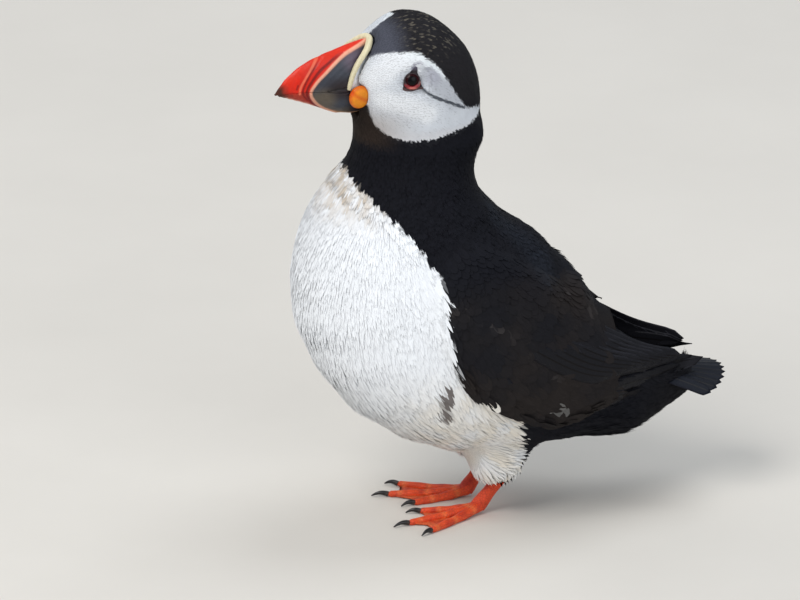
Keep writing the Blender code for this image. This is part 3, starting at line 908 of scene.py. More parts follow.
def evened(mesh, rows, steps, weight=1.0):
    """Values of a mesh's points, drawn step by step towards their neighbours' or away from them."""
    edges = np.empty(len(mesh.edges) * 2, np.int32)
    mesh.edges.foreach_get("vertices", edges)
    one, other = edges.reshape(-1, 2).T
    count = np.bincount(edges, minlength=len(rows))
    rows = rows.copy()
    for step in steps:
        for axis in range(rows.shape[1]):
            line = rows[:, axis]
            total = np.bincount(one, line[other], len(line)) + np.bincount(other, line[one], len(line))
            rows[:, axis] = line + step * weight * (total / count - line)
    return rows


def settle_back(body):
    """Lowers the hump of the back, fills the hollow behind it, and draws in the nape."""
    x, y, z = body.T
    near_ridge = ease(-30, -8, z - np.interp(y, RIDGE_Y, RIDGE_Z))
    lift = np.interp(y, RIDGE_Y, RIDGE_LIFT) * near_ridge
    draw = np.interp(z, NAPE_Z, NAPE_SHIFT) * ease(-22, -6, y)
    return np.column_stack([x, y + draw, z + lift])


def shape_skin(mesh):
    """Evens out the facets, lets the mantle flow over the folded wings, and fills the eye sockets."""
    rows = evened(mesh, places(mesh), FACET_STEPS)
    rows = to_frame(settle_back(to_table(rows)))
    body = to_table(rows)
    y, z = body[:, 1], body[:, 2]
    breast = ease(-2, -8, black_depth(body)) * ease(178, 165, z) * ease(34, 50, z)
    seams = np.max([stroke(WING_SEAM, y, z, 10, 3), breast, stroke(THIGH_TOP, y, z, 11, 5)], axis=0)
    rows = evened(mesh, rows, SEAM_STEPS, seams)
    head = straight_head(to_table(rows))
    head[:, 0] = np.abs(head[:, 0])
    gap = np.linalg.norm(head - SOCKET, axis=1)
    rows = evened(mesh, rows, SOCKET_STEPS, ease(*SOCKET_REACH, gap))
    move_to(mesh, rows)
    raised = SOCKET_SWELL * np.clip(1 - (gap / SWELL_REACH) ** 2, 0, 1) ** 2
    move_to(mesh, rows + directions(mesh) * raised[:, None] * MM)


def on_arms(mesh):
    """1 at each place whose nearest solid is an arm of a wing."""
    solids = [frame["nodes"][node].data for node in FLESH]
    wings = [float(node.startswith("wing")) for node in FLESH]
    owners = np.repeat(wings, [len(solid.polygons) for solid in solids])
    tree = solid_tree(solids)
    return np.array([owners[tree.find_nearest(vert.co)[2]] for vert in mesh.vertices])


def make_skin():
    """One skin for head, neck, trunk, thighs and arms, set in by the depth of the coat."""
    skin = add_object("skin", join_flesh())
    mould = skin.modifiers.new("mould", "REMESH")
    mould.mode = "VOXEL"
    mould.voxel_size = SKIN_GRAIN * MM
    mesh = freeze(skin).data
    keep_outside(mesh)
    arms = on_arms(mesh)
    shape_skin(mesh)
    out = directions(mesh)
    body = to_table(places(mesh))
    length = coat_lie(body, out)[1]
    rise = WHITE_RISE + (BLACK_RISE - WHITE_RISE) * ease(-2, 2, black_depth(body))
    rise = np.where(body[:, 2] > FACE_FROM, FACE_RISE, np.where(arms > 0.5, ARM_RISE, rise))
    move_to(mesh, to_frame(body - out * (COAT_BED + rise * length)[:, None]))
    note(mesh, "out", "FLOAT_VECTOR", unit(evened(mesh, directions(mesh), LIE_STEPS)))
    note(mesh, "arm", "FLOAT", arms)
    smooth(mesh)
    return tinted(skin, plumage(body, arms))


# The line down the middle of the bird that its skin is unrolled from: (y, z).
MIDLINE = (
    (-62, 214), (-34, 212), (-30, 190), (-28, 165), (-24, 140), (-6, 110), (20, 84), (60, 66), (96, 60),
)


def unroll(body):
    """The skin's own unwrap: round the bird across, and from bill to tail along."""
    steps = np.diff(MIDLINE, axis=0)
    lengths = np.hypot(*steps.T)
    starts = np.concatenate([[0], np.cumsum(lengths)[:-1]])
    best = np.full(len(body), 1e9)
    around = np.zeros(len(body))
    along = np.zeros(len(body))
    for corner, step, length, start in zip(MIDLINE, steps, lengths, starts):
        way = step / length
        offset = body[:, 1:] - corner
        share = np.clip(offset @ way, 0, length)
        gap = offset - share[:, None] * way
        distance = np.hypot(np.hypot(*gap.T), body[:, 0])
        nearer = distance < best
        best = np.where(nearer, distance, best)
        dorsal = gap @ np.array([-way[1], way[0]])
        around = np.where(nearer, np.arctan2(body[:, 0], dorsal), around)
        along = np.where(nearer, start + share, along)
    return np.column_stack([0.5 + around / ROUND, along / lengths.sum()])


def map_skin(skin):
    """Gives the skin its unwrap, with no face stretched across the seam."""
    mesh = skin.data
    rows = unroll(to_table(places(mesh)))[corner_points(mesh)]
    sizes = np.array([len(face.vertices) for face in mesh.polygons])
    firsts = np.concatenate([[0], np.cumsum(sizes)[:-1]])
    widest = np.maximum.reduceat(rows[:, 0], firsts)
    narrowest = np.minimum.reduceat(rows[:, 0], firsts)
    across = np.repeat(widest - narrowest > 0.5, sizes)
    rows[:, 0] = np.where(across & (rows[:, 0] < 0.5), 1.0, rows[:, 0])
    note(mesh, "OFBake", "FLOAT2", rows, "CORNER")


# ---------------------------------------------------------------- trees that lay the coat

ROOTS_PER_SPACE = 6.0
PATCH = 0.003
ROOT_SINK = 0.05


class Wiring(Desk):
    """A geometry tree with named inputs."""

    def __init__(self, name, inputs):
        super().__init__(bpy.data.node_groups.new(name, "GeometryNodeTree"))
        for title, socket in inputs:
            self.tree.interface.new_socket(title, in_out="INPUT", socket_type="NodeSocket" + socket)
        self.tree.interface.new_socket("Geometry", in_out="OUTPUT", socket_type="NodeSocketGeometry")
        self.entry = self.tree.nodes.new("NodeGroupInput").outputs

    def read(self, name, kind="FLOAT_VECTOR"):
        """A named value of the mesh."""
        node = self.add("GeometryNodeInputNamedAttribute", {"data_type": kind}, {"Name": name})
        return node.outputs["Attribute"]

    def finish(self, shape):
        """Ends the tree with this shape."""
        self.put(self.tree.nodes.new("NodeGroupOutput"), "Geometry", shape)
        return self.tree


def run_tree(thing, tree, values):
    """Runs a tree on a piece with its inputs set, and freezes the result."""
    step = thing.modifiers.new(tree.name, "NODES")
    step.node_group = tree
    for item in tree.interface.items_tree:
        if item.in_out == "INPUT" and item.name in values:
            step[item.identifier] = values[item.name]
    return freeze(thing)


def root_tree():
    """Spreads feather roots evenly over one part of the skin."""
    work = Wiring("spread_roots", (
        ("Geometry", "Geometry"), ("Part", "String"), ("Spacing", "Float"), ("Seed", "Int"),
    ))
    space = work.entry["Spacing"]
    part = work.read(work.entry["Part"], "FLOAT")
    chosen = work.add("FunctionNodeCompare", {"operation": "GREATER_THAN"}, {"A": part, "B": 0.5})
    squared = work.add("ShaderNodeMath", {"operation": "MULTIPLY"}, {0: space, 1: space})
    density = work.add("ShaderNodeMath", {"operation": "DIVIDE"}, {0: ROOTS_PER_SPACE, 1: squared.outputs[0]})
    spread = work.add("GeometryNodeDistributePointsOnFaces", {"distribute_method": "POISSON"}, {
        "Mesh": work.entry["Geometry"], "Selection": chosen.outputs[0], "Distance Min": space,
        "Density Max": density.outputs[0], "Seed": work.entry["Seed"],
    })
    loose = work.add("GeometryNodePointsToVertices", {}, {"Points": spread.outputs["Points"]})
    return work.finish(loose.outputs[0])


def coat_tree():
    """Lays one tuft on each root, along its lie, and makes them one mesh."""
    work = Wiring("lay_tufts", (("Geometry", "Geometry"), ("Tufts", "Collection"), ("Finish", "Material")))
    stock = work.add("GeometryNodeCollectionInfo", {}, {
        "Collection": work.entry["Tufts"], "Separate Children": True, "Reset Children": True,
    })
    facing = work.add("FunctionNodeAxesToRotation", {"primary_axis": "Z", "secondary_axis": "X"}, {
        "Primary Axis": work.read("out"), "Secondary Axis": work.read("way"),
    })
    wobble = work.add("FunctionNodeEulerToRotation", {}, {"Euler": work.read("wobble")})
    turned = work.add("FunctionNodeRotateRotation", {"rotation_space": "LOCAL"}, {
        "Rotation": facing.outputs[0], "Rotate By": wobble.outputs[0],
    })
    placed = work.add("GeometryNodeInstanceOnPoints", {}, {
        "Points": work.entry["Geometry"], "Instance": stock.outputs[0], "Pick Instance": True,
        "Instance Index": work.read("kind", "INT"), "Rotation": turned.outputs[0], "Scale": work.read("grow"),
    })
    solid = work.add("GeometryNodeRealizeInstances", {}, {"Geometry": placed.outputs[0]})
    patch = work.add("ShaderNodeVectorMath", {"operation": "SCALE"}, {0: work.read("patch"), "Scale": PATCH})
    terms = {0: work.read("root_uv"), 1: patch.outputs[0]}
    flat = work.add("ShaderNodeVectorMath", {"operation": "ADD"}, terms)
    mapped = work.add("GeometryNodeStoreNamedAttribute", {"data_type": "FLOAT2", "domain": "CORNER"}, {
        "Geometry": solid.outputs[0], "Name": "OFBake", "Value": flat.outputs[0],
    })
    done = work.add("GeometryNodeSetMaterial", {}, {
        "Geometry": mapped.outputs[0], "Material": work.entry["Finish"],
    })
    return work.finish(done.outputs[0])


# ---------------------------------------------------------------- feather shapes

# How wide each kind of feather is along its length: shares of its length, then of its width.
SOFT_PROFILE = ((0, 0.35, 0.7, 1), (0.35, 0.85, 1.0, 0.95))
FINE_PROFILE = ((0, 0.5, 1), (0.5, 1.0, 0.8))
SILK_PROFILE = ((0, 0.25, 0.55, 0.85, 1), (0.4, 0.9, 1.0, 0.55, 0.1))
COVERT_PROFILE = ((0, 0.2, 0.5, 0.75, 0.92, 1), (0.3, 0.75, 1.0, 0.96, 0.66, 0.3))


def leaf_point(along, offset, side):
    """A place on a leaf that rises from its root and bends back to lie flat."""
    height = math.sin(min(along, 1.1) * math.pi * 0.5) - 0.1 * side * side * math.sqrt(max(along, 0))
    return along, offset, height


def leaf(rows, columns, ending, seed, profile):
    """A cambered leaf, one long and one wide, whose end frays into barbs."""
    draw = np.random.default_rng(seed)
    across = np.linspace(-1, 1, columns + 1)
    points = []
    notes = []
    for along in np.linspace(0, ending, rows + 1):
        half = 0.5 * np.interp(along / ending, *profile)
        for side in across:
            points.append(leaf_point(along, side * half, side))
            notes.append((along, side))
    faces = loft_faces(rows + 1, columns + 1, closed=False)
    if ending < 1:
        edge = 0.5 * np.interp(1, *profile)
        for column in range(columns):
            a = rows * (columns + 1) + column
            side = 0.5 * (across[column] + across[column + 1]) * draw.uniform(0.8, 1.3)
            reach = 1.0 - 0.22 * abs(side) + draw.uniform(-0.14, 0.05)
            points.append(leaf_point(reach, side * edge, side))
            notes.append((reach, side))
            faces.append((a, a + 1, len(points) - 1))
    return points, faces, notes


def feather_stock(name, shapes):
    """A shelf of feather shapes for the trees to pick from."""
    shelf = bpy.data.collections.new(name)
    for index, (points, faces, notes) in enumerate(shapes):
        mesh = bpy.data.meshes.new(f"{name}_{index}")
        mesh.from_pydata([tuple(p) for p in points], [], faces)
        smooth(mesh)
        along, side = np.array(notes).T
        note(mesh, "along", "FLOAT", along)
        note(mesh, "across", "FLOAT", side)
        note(mesh, "patch", "FLOAT_VECTOR", np.column_stack([0.5 + 0.5 * side, along, 0 * along]))
        mesh.update()
        shelf.objects.link(bpy.data.objects.new(f"{name}_{index}", mesh))
    return shelf


# How far tufts vary: in length, in width, and in their lean, roll and turn.
LENGTH_SPREAD = (0.82, 1.15)
WIDTH_SPREAD = (0.85, 1.15)
WOBBLE = (0.05, 0.015, 0.09)


def lay_coat(skin, name, stock, finish, seed, spacing, width, rise, stretch=1.0, mottle=0.02, stray=1.0):
    """Covers one part of the skin with tufts.

    spacing is in mm; width and rise are shares of a tuft's length; mottle is how far one tuft's
    colour strays from the next, and stray how far its lie does.
    """
    roots = add_object(name, skin.data.copy())
    run_tree(roots, ROOT_TREE, {"Part": name, "Spacing": spacing * MM, "Seed": seed})
    mesh = roots.data
    place = places(mesh)
    body = to_table(place)
    out = unit(read_rows(mesh.attributes["out"].data, "vector"))
    arms = read_rows(mesh.attributes["arm"].data, "value", 1)[:, 0]
    way, length = coat_lie(body, out)
    draw = np.random.default_rng(seed)
    count = len(body)
    size = length * stretch * draw.uniform(*LENGTH_SPREAD, count)
    grow = np.column_stack([size, width * size * draw.uniform(*WIDTH_SPREAD, count), rise * size])
    move_to(mesh, place - out * ROOT_SINK * MM)
    flat = unroll(body)
    low, high = flat.min(axis=0), flat.max(axis=0)
    flat = (flat - low) / (high - low) * (1 - PATCH)
    shown = body + out * 0.5 + way * (0.6 * size)[:, None]
    colour = plumage(shown, (arms > 0.5).astype(float))
    tinted(roots, colour * draw.uniform(1 - mottle, 1 + mottle, count)[:, None])
    note(mesh, "way", "FLOAT_VECTOR", way)
    note(mesh, "wobble", "FLOAT_VECTOR", draw.normal(0, stray, (count, 3)) * WOBBLE)
    note(mesh, "grow", "FLOAT_VECTOR", grow * MM)
    note(mesh, "root_uv", "FLOAT_VECTOR", np.column_stack([flat, np.zeros(count)]))
    note(mesh, "shade", "FLOAT", draw.uniform(0, 1, count))
    note(mesh, "kind", "INT", draw.integers(0, len(stock.objects), count))
    run_tree(roots, COAT_TREE, {"Tufts": stock, "Finish": finish})
    for spare in ("way", "wobble", "grow", "root_uv", "patch", "kind", "arm"):
        layer = roots.data.attributes.get(spare)
        if layer:
            roots.data.attributes.remove(layer)
    return roots


# Where the parts of the coat meet, by y or by z, and how level the skin must be to carry feathers.
HEAD_FROM = 178.5
NECK_FROM = 146
BREAST_FROM = 92
RUMP_FROM = 58
COVERT_END = 45
VANE_COVER = (42, 70)
LEVEL = 0.8


def mark_parts(skin):
    """Divides the skin into the parts that the coat is laid in."""
    mesh = skin.data
    body = to_table(places(mesh))
    x, y, z = body.T
    arms = read_rows(mesh.attributes["arm"].data, "value", 1)[:, 0] > 0.5
    high = z > HEAD_FROM
    head = straight_head(body)
    face = high & (face_depth(head) > 0)
    clear = eye_depth(head) < -0.3
    dark = black_depth(body) > 0
    covered = arms & dark & ~high
    out = read_rows(mesh.attributes["out"].data, "vector")
    level = np.sum(out * directions(mesh), axis=1) > LEVEL
    near = level & ((y < COVERT_END) | (np.abs(out[:, 0]) > 0.6) & (y < COVERT_END + 5))
    rest = ~high & ~covered
    under_vanes = (y > VANE_COVER[0]) & (z > VANE_COVER[1])
    parts = {
        "coat_face": face & clear,
        "coat_crown": high & ~face & clear,
        "coat_wing_left": covered & (x > 0) & near,
        "coat_wing_right": covered & ~(x > 0) & near,
        "coat_neck": rest & dark & (z > NECK_FROM),
        "coat_back": rest & dark & level & ~under_vanes & (z <= NECK_FROM) & (y <= RUMP_FROM),
        "coat_rump": rest & dark & (z <= NECK_FROM) & (y > RUMP_FROM),
        "coat_breast": rest & ~dark & (z > BREAST_FROM),
        "coat_belly": rest & ~dark & (z <= BREAST_FROM),
    }
    for name, chosen in parts.items():
        note(mesh, name, "FLOAT", chosen.astype(float))
    return list(parts)


# ---------------------------------------------------------------- lofts and smooth lines


def through(points, count):
    """Evenly numbered places on a smooth line through the given ones."""
    known = np.array(points, float)
    padded = np.vstack([2 * known[0] - known[1], known, 2 * known[-1] - known[-2]])
    share = np.linspace(0, len(known) - 1, count)
    index = np.minimum(share.astype(int), len(known) - 2)
    t = (share - index)[:, None]
    a, b, c, d = padded[index], padded[index + 1], padded[index + 2], padded[index + 3]
    return 0.5 * (2 * b + (c - a) * t + (2 * a - 5 * b + 4 * c - d) * t**2 + (3 * b - a - 3 * c + d) * t**3)


def even(points, count):
    """Places at equal steps along a smooth line through the given ones."""
    fine = through(points, 40 * len(points))
    run = np.concatenate([[0], np.cumsum(np.linalg.norm(np.diff(fine, axis=0), axis=1))])
    steps = np.linspace(0, run[-1], count)
    return np.column_stack([np.interp(steps, run, fine[:, axis]) for axis in range(fine.shape[1])])


def loft_faces(rings, around, closed=True, capped=True):
    """Faces of a skin stretched over rings of points."""
    faces = []
    last = around if closed else around - 1
    for ring in range(rings - 1):
        for k in range(last):
            a = ring * around + k
            b = ring * around + (k + 1) % around
            faces.append((a, b, b + around, a + around))
    if closed and capped:
        faces.append(tuple(range(around))[::-1])
        faces.append(tuple((rings - 1) * around + k for k in range(around)))
    return faces


def ball_grid(rows, around, hole):
    """Places on a ball of radius one, in rings from pole to pole, with a small hole at each pole."""
    lat = np.linspace(hole, math.pi - hole, rows)[:, None]
    lon = np.linspace(0, ROUND, around, endpoint=False)[None, :]
    ball = np.stack([np.cos(lat) + 0 * lon, np.sin(lat) * np.cos(lon), np.sin(lat) * np.sin(lon)], axis=-1)
    return ball.reshape(-1, 3)


def softened(values, reach):
    """Each value drawn to the middle of those up to reach steps away."""
    width = 2 * reach + 1
    return np.convolve(np.pad(values, reach, mode="edge"), np.ones(width) / width, mode="valid")


def tube_points(path, widths, heights, around, tilt=(0, 0, 1)):
    """Rings of an oval tube along a path; its heights point as near to tilt as they can."""
    path = np.asarray(path, float)
    ahead = unit(np.gradient(path, axis=0))
    side = unit(np.cross(np.broadcast_to(tilt, path.shape), ahead))
    lift = np.cross(ahead, side)
    turn = np.linspace(0, ROUND, around, endpoint=False)
    across = side[:, None] * (np.cos(turn)[:, None] * np.asarray(widths)[:, None, None])
    up = lift[:, None] * (np.sin(turn)[:, None] * np.asarray(heights)[:, None, None])
    return (path[:, None] + across + up).reshape(-1, 3)


def swell(thing, amounts):
    """Raises or sinks each point of a piece, in mm."""
    mesh = thing.data
    move_to(mesh, places(mesh) + directions(mesh) * (amounts * MM)[:, None])
    return thing


# ---------------------------------------------------------------- bill

GAPE_SLIT = 0.2
CULMEN = (
    (-50, 227.4), (-57, 228.4), (-63, 227.3), (-69.5, 225.6), (-76.4, 223.6), (-83.5, 221),
    (-89.5, 217.4), (-94.5, 212.7), (-98.4, 206.9),
)
KEEL = (
    (-50, 193.4), (-58, 193.1), (-62.3, 193.4), (-69, 194.8), (-74.3, 196.7), (-79, 198.8),
    (-84.4, 201.2), (-92, 204.2), (-96.5, 205.8),
)
BILL_HALF_Y = (-98.4, -94.5, -88, -80, -72, -64, -61, -57, -50)
BILL_HALF = (0.5, 2.0, 4.0, 5.9, 7.4, 8.3, 7.6, 5.4, 3.0)
# The gape as it runs from the tip back, and how the section narrows to the culmen and to the keel.
GAPE_LINE = ((-98.4, 206.5), (-92, 207.6), (-86, 208.2), (-78, 207.8), (-68, 206.9), (-50, 206.3))
CULMEN_POWERS = (1.35, 0.95)
KEEL_POWERS = (0.8, 0.9)
# The pale ridge that bounds the slate, the two grooves of the red, and the nostril: (y, z).
PALE_RIDGE = (
    (-56.0, 228.0), (-59.1, 226.9), (-62.7, 225.6), (-66.3, 224.2), (-69.9, 222.1), (-73.4, 219.5),
    (-77.1, 216.3), (-80.0, 213.6), (-81.8, 211.2), (-83.0, 209.0), (-82.9, 206.4), (-81.2, 203.6),
    (-78.8, 201.1), (-75.5, 198.7), (-71.5, 196.6), (-68.0, 194.2),
)
GROOVES = (
    (
        (-67.6, 224.4), (-71.2, 222.9), (-74.5, 220.9), (-77.4, 219.0), (-79.8, 217.0), (-81.8, 214.6),
        (-83.3, 212.4), (-84.5, 210.2), (-84.9, 208.0), (-84.2, 205.7), (-82.6, 203.3), (-80.7, 201.3),
        (-78.0, 199.2),
    ),
    (
        (-77.4, 223.0), (-79.6, 220.8), (-82.6, 217.3), (-84.9, 213.8), (-86.1, 210.8), (-86.7, 208.4),
        (-85.8, 206.0), (-83.9, 203.7),
    ),
)
GROOVE_STEPS = 30
RIDGE_STEPS = 40
PINK_LINE = (
    (-79.0, 223.0), (-80.8, 221.1), (-84.1, 216.8), (-86.1, 213.8), (-87.4, 211.5), (-88.0, 209.2),
    (-88.0, 207.4),
)
DARK_DASH = ((-88.9, 211.6), (-89.4, 209.8))
BILL_TIP_Y = -98.4
BILL_TIP_Z = 207
NOSTRIL = ((-75.5, 208.2), (-71.5, 208.9), (-67.5, 209.2))
SLATE_SIDE = (*PALE_RIDGE, (-62, 190), (-48, 190), (-48, 230))

BILL_RED = paint(204, 30, 4)
BILL_BRIGHT = paint(212, 50, 26)
BILL_DEEP = paint(120, 8, 4)
BILL_BROWN_RED = paint(150, 48, 30)
BILL_PINK = paint(226, 112, 82)
BILL_SALMON = paint(230, 168, 140)
BILL_TIP = paint(70, 32, 20)
BILL_SLATE = paint(56, 60, 70)
BILL_PLUM = paint(88, 78, 92)
BILL_DARK = paint(34, 26, 30)
BILL_OLIVE = paint(92, 82, 68)
BILL_TAN = paint(168, 122, 84)
NOSTRIL_SHADE = paint(18, 16, 18)


def gape_height(y):
    """The height of the gape at each place along the bill."""
    return np.interp(y, *np.transpose(GAPE_LINE))


def slate_depth(head):
    """How far inside the slate base a place of the bill lies, in mm."""
    return depth_inside(SLATE_SIDE, head[:, 1], head[:, 2])


def bill_relief(head):
    """The bill's ridges and grooves, in mm."""
    y, z = head[:, 1], head[:, 2]
    height = 0.4 * np.exp(-((path_gap(even(PALE_RIDGE, RIDGE_STEPS), y, z) / 0.7) ** 2))
    for groove in GROOVES:
        height -= 0.3 * np.exp(-((path_gap(even(groove, GROOVE_STEPS), y, z) / 0.45) ** 2))
    height -= 0.5 * np.exp(-((path_gap(NOSTRIL, y, z) / 0.42) ** 2))
    lines = 0.05 * np.sin(slate_depth(head) * 2.6)
    return height + lines * ease(0.8, 2.5, np.abs(slate_depth(head)))


def red_colour(head):
    """The red of the bill beyond the pale ridge, with its grooves and its browner lower half."""
    y, z = head[:, 1], head[:, 2]
    below = ease(0.3, -0.5, z - gape_height(y))
    first, second, pink = (even(line, GROOVE_STEPS) for line in (*GROOVES, PINK_LINE))
    tip = np.hypot(y - BILL_TIP_Y, (z - BILL_TIP_Z) * 1.3)
    return layered(
        BILL_RED, len(y),
        (BILL_BRIGHT, 0.5 * stroke(CULMEN, y, z, 3.5, 0.5)),
        (BILL_BROWN_RED, 0.85 * below),
        (BILL_DEEP, 0.6 * below * ease(-3.2, -0.8, slate_depth(head))),
        (BILL_SALMON, 0.6 * below * stroke(KEEL, y, z, 1.6, 0.6)),
        # The two grooves are also painted deep red: painted shade in them.
        (BILL_DEEP, 0.95 * stroke(first, y, z, 0.85, 0.3) * ease(226, 221, z)),
        (BILL_DEEP, 0.85 * stroke(second, y, z, 0.65, 0.25) * ease(223, 218, z)),
        (BILL_PINK, 0.8 * stroke(pink, y, z, 0.7, 0.25) * ease(224.5, 221, z)),
        (BILL_DEEP, 0.7 * stroke(DARK_DASH, y, z, 0.6, 0.2)),
        (BILL_TIP, ease(8.0, 2.5, tip + 0.8 * ripple(head, 4, 41))),
    )


def slate_colour(head):
    """The base of the bill: plum and slate above, dark by the nostril, olive and tan below."""
    y, z = head[:, 1], head[:, 2]
    return layered(
        BILL_SLATE, len(y),
        (BILL_PLUM, spot(y + 63, z - 222, 8, 2)),
        (BILL_DARK, 0.95 * spot((y + 69) * 0.8, (z - 209) * 1.3, 10, 2.5)),
        (BILL_DARK, 0.8 * spot(y + 62, z - 199, 7, 2)),
        (BILL_OLIVE, 0.8 * spot(y + 78, z - 203, 9, 3)),
        (BILL_OLIVE, 0.7 * ease(201, 196, z) * ease(-62, -67, y)),
        (BILL_TAN, 0.8 * stroke(KEEL, y, z, 2.6, 0.8)),
        (BILL_SALMON, 0.85 * stroke(CULMEN, y, z, 2.6, 1.0) * ease(-50, -55, y)),
        # Painted shade: the sunk nostril slit drawn near-black.
        (NOSTRIL_SHADE, stroke(NOSTRIL, y, z, 0.5, 0.2)),
    )


def bill_colour(head):
    """Red beyond the pale ridge, slate and olive within it."""
    y, z = head[:, 1], head[:, 2]
    colour = blend(red_colour(head), slate_colour(head), ease(-0.2, 0.5, slate_depth(head)))
    ridge = stroke(even(PALE_RIDGE, RIDGE_STEPS), y, z, 0.9, 0.4)
    colour = blend(colour, BILL_SALMON, 0.9 * ridge * (0.72 + 0.28 * ease(202, 214, z)))
    colour = colour * (1 + 0.05 * ripple(head, 2.6, 42))[:, None]
    behind = y - np.interp(z, RIM_Z, RIM_Y)
    skirt = layered(FACE_PALE, len(y), (FOREHEAD_SLATE_SHEEN, ease(220.5, 222.5, z)))
    return blend(colour, skirt, ease(1.0, 1.6, behind) * ease(206, 208, z))


def bill_half(name, edge, sign, finish):
    """The upper or the lower half of the bill, flat at the gape and round at its far edge."""
    rows, arc, floor_steps = 190, 104, 8
    line = even(edge, rows)
    flat = gape_height(line[:, 0]) + sign * GAPE_SLIT / 2
    half = softened(np.interp(line[:, 0], BILL_HALF_Y, BILL_HALF), 7)
    reach = np.maximum(np.abs(line[:, 1] - flat), 0.35)
    turn = np.linspace(0, math.pi, arc)
    side_power, top_power = CULMEN_POWERS if sign > 0 else KEEL_POWERS
    across = np.sign(np.cos(turn)) * np.abs(np.cos(turn)) ** side_power
    up = np.abs(np.sin(turn)) ** top_power
    ring_x = np.concatenate([across, np.linspace(-1, 1, floor_steps + 2)[1:-1]])
    ring_z = np.concatenate([up, np.zeros(floor_steps)])
    points = np.stack([
        half[:, None] * ring_x, np.broadcast_to(line[:, :1], (rows, len(ring_x))),
        flat[:, None] + sign * reach[:, None] * ring_z,
    ], axis=-1).reshape(-1, 3)
    thing = piece_of(name, points, loft_faces(rows, len(ring_x)), finish)
    swell(face_out(thing), bill_relief(points) * (np.tile(ring_z, rows) > 0.01))
    tinted(thing, bill_colour(points))
    return head_set(thing)


RIM_PATH = (
    (8.5, -66.3, 208.8), (8.6, -65.6, 213.3), (8.3, -64.3, 217.4), (7.6, -62.2, 221.0), (6.6, -59.8, 223.6),
    (4.8, -57.0, 226.2), (2.4, -55.2, 228.2), (0.6, -54.5, 228.8),
)
RIM_Z = (208.8, 213.3, 217.4, 221.0, 223.6, 226.2, 228.2)
RIM_Y = (-66.3, -65.6, -64.3, -62.2, -59.8, -57.0, -55.2)
RIM_SHARES = (0, 0.15, 0.35, 0.6, 1)
RIM_RADII = (1.5, 1.65, 1.42, 1.34, 1.05)
RIM_AROUND = 28
RIM_CREAM = paint(216, 207, 174)
RIM_SHADE = paint(176, 164, 124)
ROSETTE_CENTRE = np.array([10.4, -61.8, 205.4])
ROSETTE_HALF = np.array([2.6, 4.9, 5.5])
ROSETTE_ORANGE = paint(222, 134, 22)
ROSETTE_DEEP = paint(200, 76, 8)


def make_rim(finish):
    """The cream fold of skin round the bill's root, fattest at the top and finely wrinkled."""
    side = even(RIM_PATH, 60)
    path = np.vstack([side, (side * (-1, 1, 1))[::-1]])
    rows = len(path)
    share = np.abs(np.linspace(-1, 1, rows))
    radius = np.interp(share, RIM_SHARES, RIM_RADII) * np.where(share > 0.96, 0.85, 1)
    radius += 0.035 * np.sin(np.linspace(0, 150, rows)) * ease(0, 0.3, share)
    points = tube_points(path, radius, radius * 0.95, RIM_AROUND, tilt=(0, -1, 0.4))
    faces = loft_faces(rows, RIM_AROUND)
    thing = face_out(piece_of("bill_rim_skin", points, faces, finish), MERGE_GAP)
    body = to_table(places(thing.data))
    fold = 0.5 + 0.5 * np.sin(body @ np.array([1.6, 3.1, -1.2]))
    tinted(thing, layered(RIM_CREAM, len(body), (RIM_SHADE, 0.28 * fold)))
    return head_set(thing)


def make_rosette(name, sign, finish):
    """The wrinkled orange skin at the corner of the mouth."""
    rows, around = 40, 56
    ball = ball_grid(rows, around, 0.02)
    crease = np.exp(-(((ball[:, 1] * 0.45 + ball[:, 2] * 0.9 - 0.05) / 0.14) ** 2)) * (ball[:, 0] > 0)
    folds = np.sin(9 * (ball[:, 1] * 0.5 + ball[:, 2]) + 2 * ball[:, 1]) * ease(0.2, 0.8, ball[:, 0])
    grow = 1 - 0.07 * crease + 0.018 * folds
    points = (ball * ROSETTE_HALF * grow[:, None] + ROSETTE_CENTRE) * (sign, 1, 1)
    thing = face_out(piece_of(name, points, loft_faces(rows, around), finish), MERGE_GAP)
    body = to_table(places(thing.data))
    local = (body * (sign, 1, 1) - ROSETTE_CENTRE) / ROSETTE_HALF
    # Painted shade: deeper red along the crease and round the edge.
    deep = np.exp(-(((local[:, 1] * 0.45 + local[:, 2] * 0.9 - 0.05) / 0.2) ** 2))
    edge = ease(0.7, 1.0, np.hypot(local[:, 1], local[:, 2]))
    painted_shade = np.clip(0.6 * deep + 0.7 * edge, 0, 1)
    tinted(thing, layered(ROSETTE_ORANGE, len(body), (ROSETTE_DEEP, painted_shade)))
    return head_set(thing)


# ---------------------------------------------------------------- eyes

EYE_RADIUS = 5.0
LID_MIDDLE_UP = 0.2
LID_HALF = (3.35, 3.25)
BALL_REACH = 3.45
BALL_SLACK = 0.12
EYE_SINK = 1.7
PUPIL_REACH = 0.42
IRIS_REACH = 0.74
# How far out the skin is looked for by an eye, in mm, and how far in the look goes, in metres.
LOOK_FROM = 12.0
LOOK_REACH = 0.02
LID_RED = paint(132, 26, 34)
LID_PINK = paint(200, 112, 98)
LID_SHADOW = paint(34, 14, 20)
IRIS_MAROON = paint(40, 9, 13)
PUPIL_BLACK = paint(6, 4, 6)
EYE_RIM = paint(26, 10, 14)
PLATE_PLUM = paint(80, 74, 92)
PLATE_DARK = paint(24, 13, 19)
PLATE_BROWN = paint(74, 40, 38)
PLATE_EDGE = paint(58, 52, 58)


def eye_spot(back, up, out, sign):
    """A place by the eye of the straight head: back and up across it, out from its middle."""
    place = EYE_CENTRE + np.outer(back, EYE_BACK) + np.outer(up, EYE_UP) + np.outer(out, EYE_OUT)
    return place * (sign, 1, 1)


def dome(back, up):
    """How far out the ball of the eye stands at a place across it."""
    height = np.maximum(EYE_RADIUS**2 - np.asarray(back) ** 2 - np.asarray(up) ** 2, 0.05)
    return np.sqrt(height) - EYE_SINK


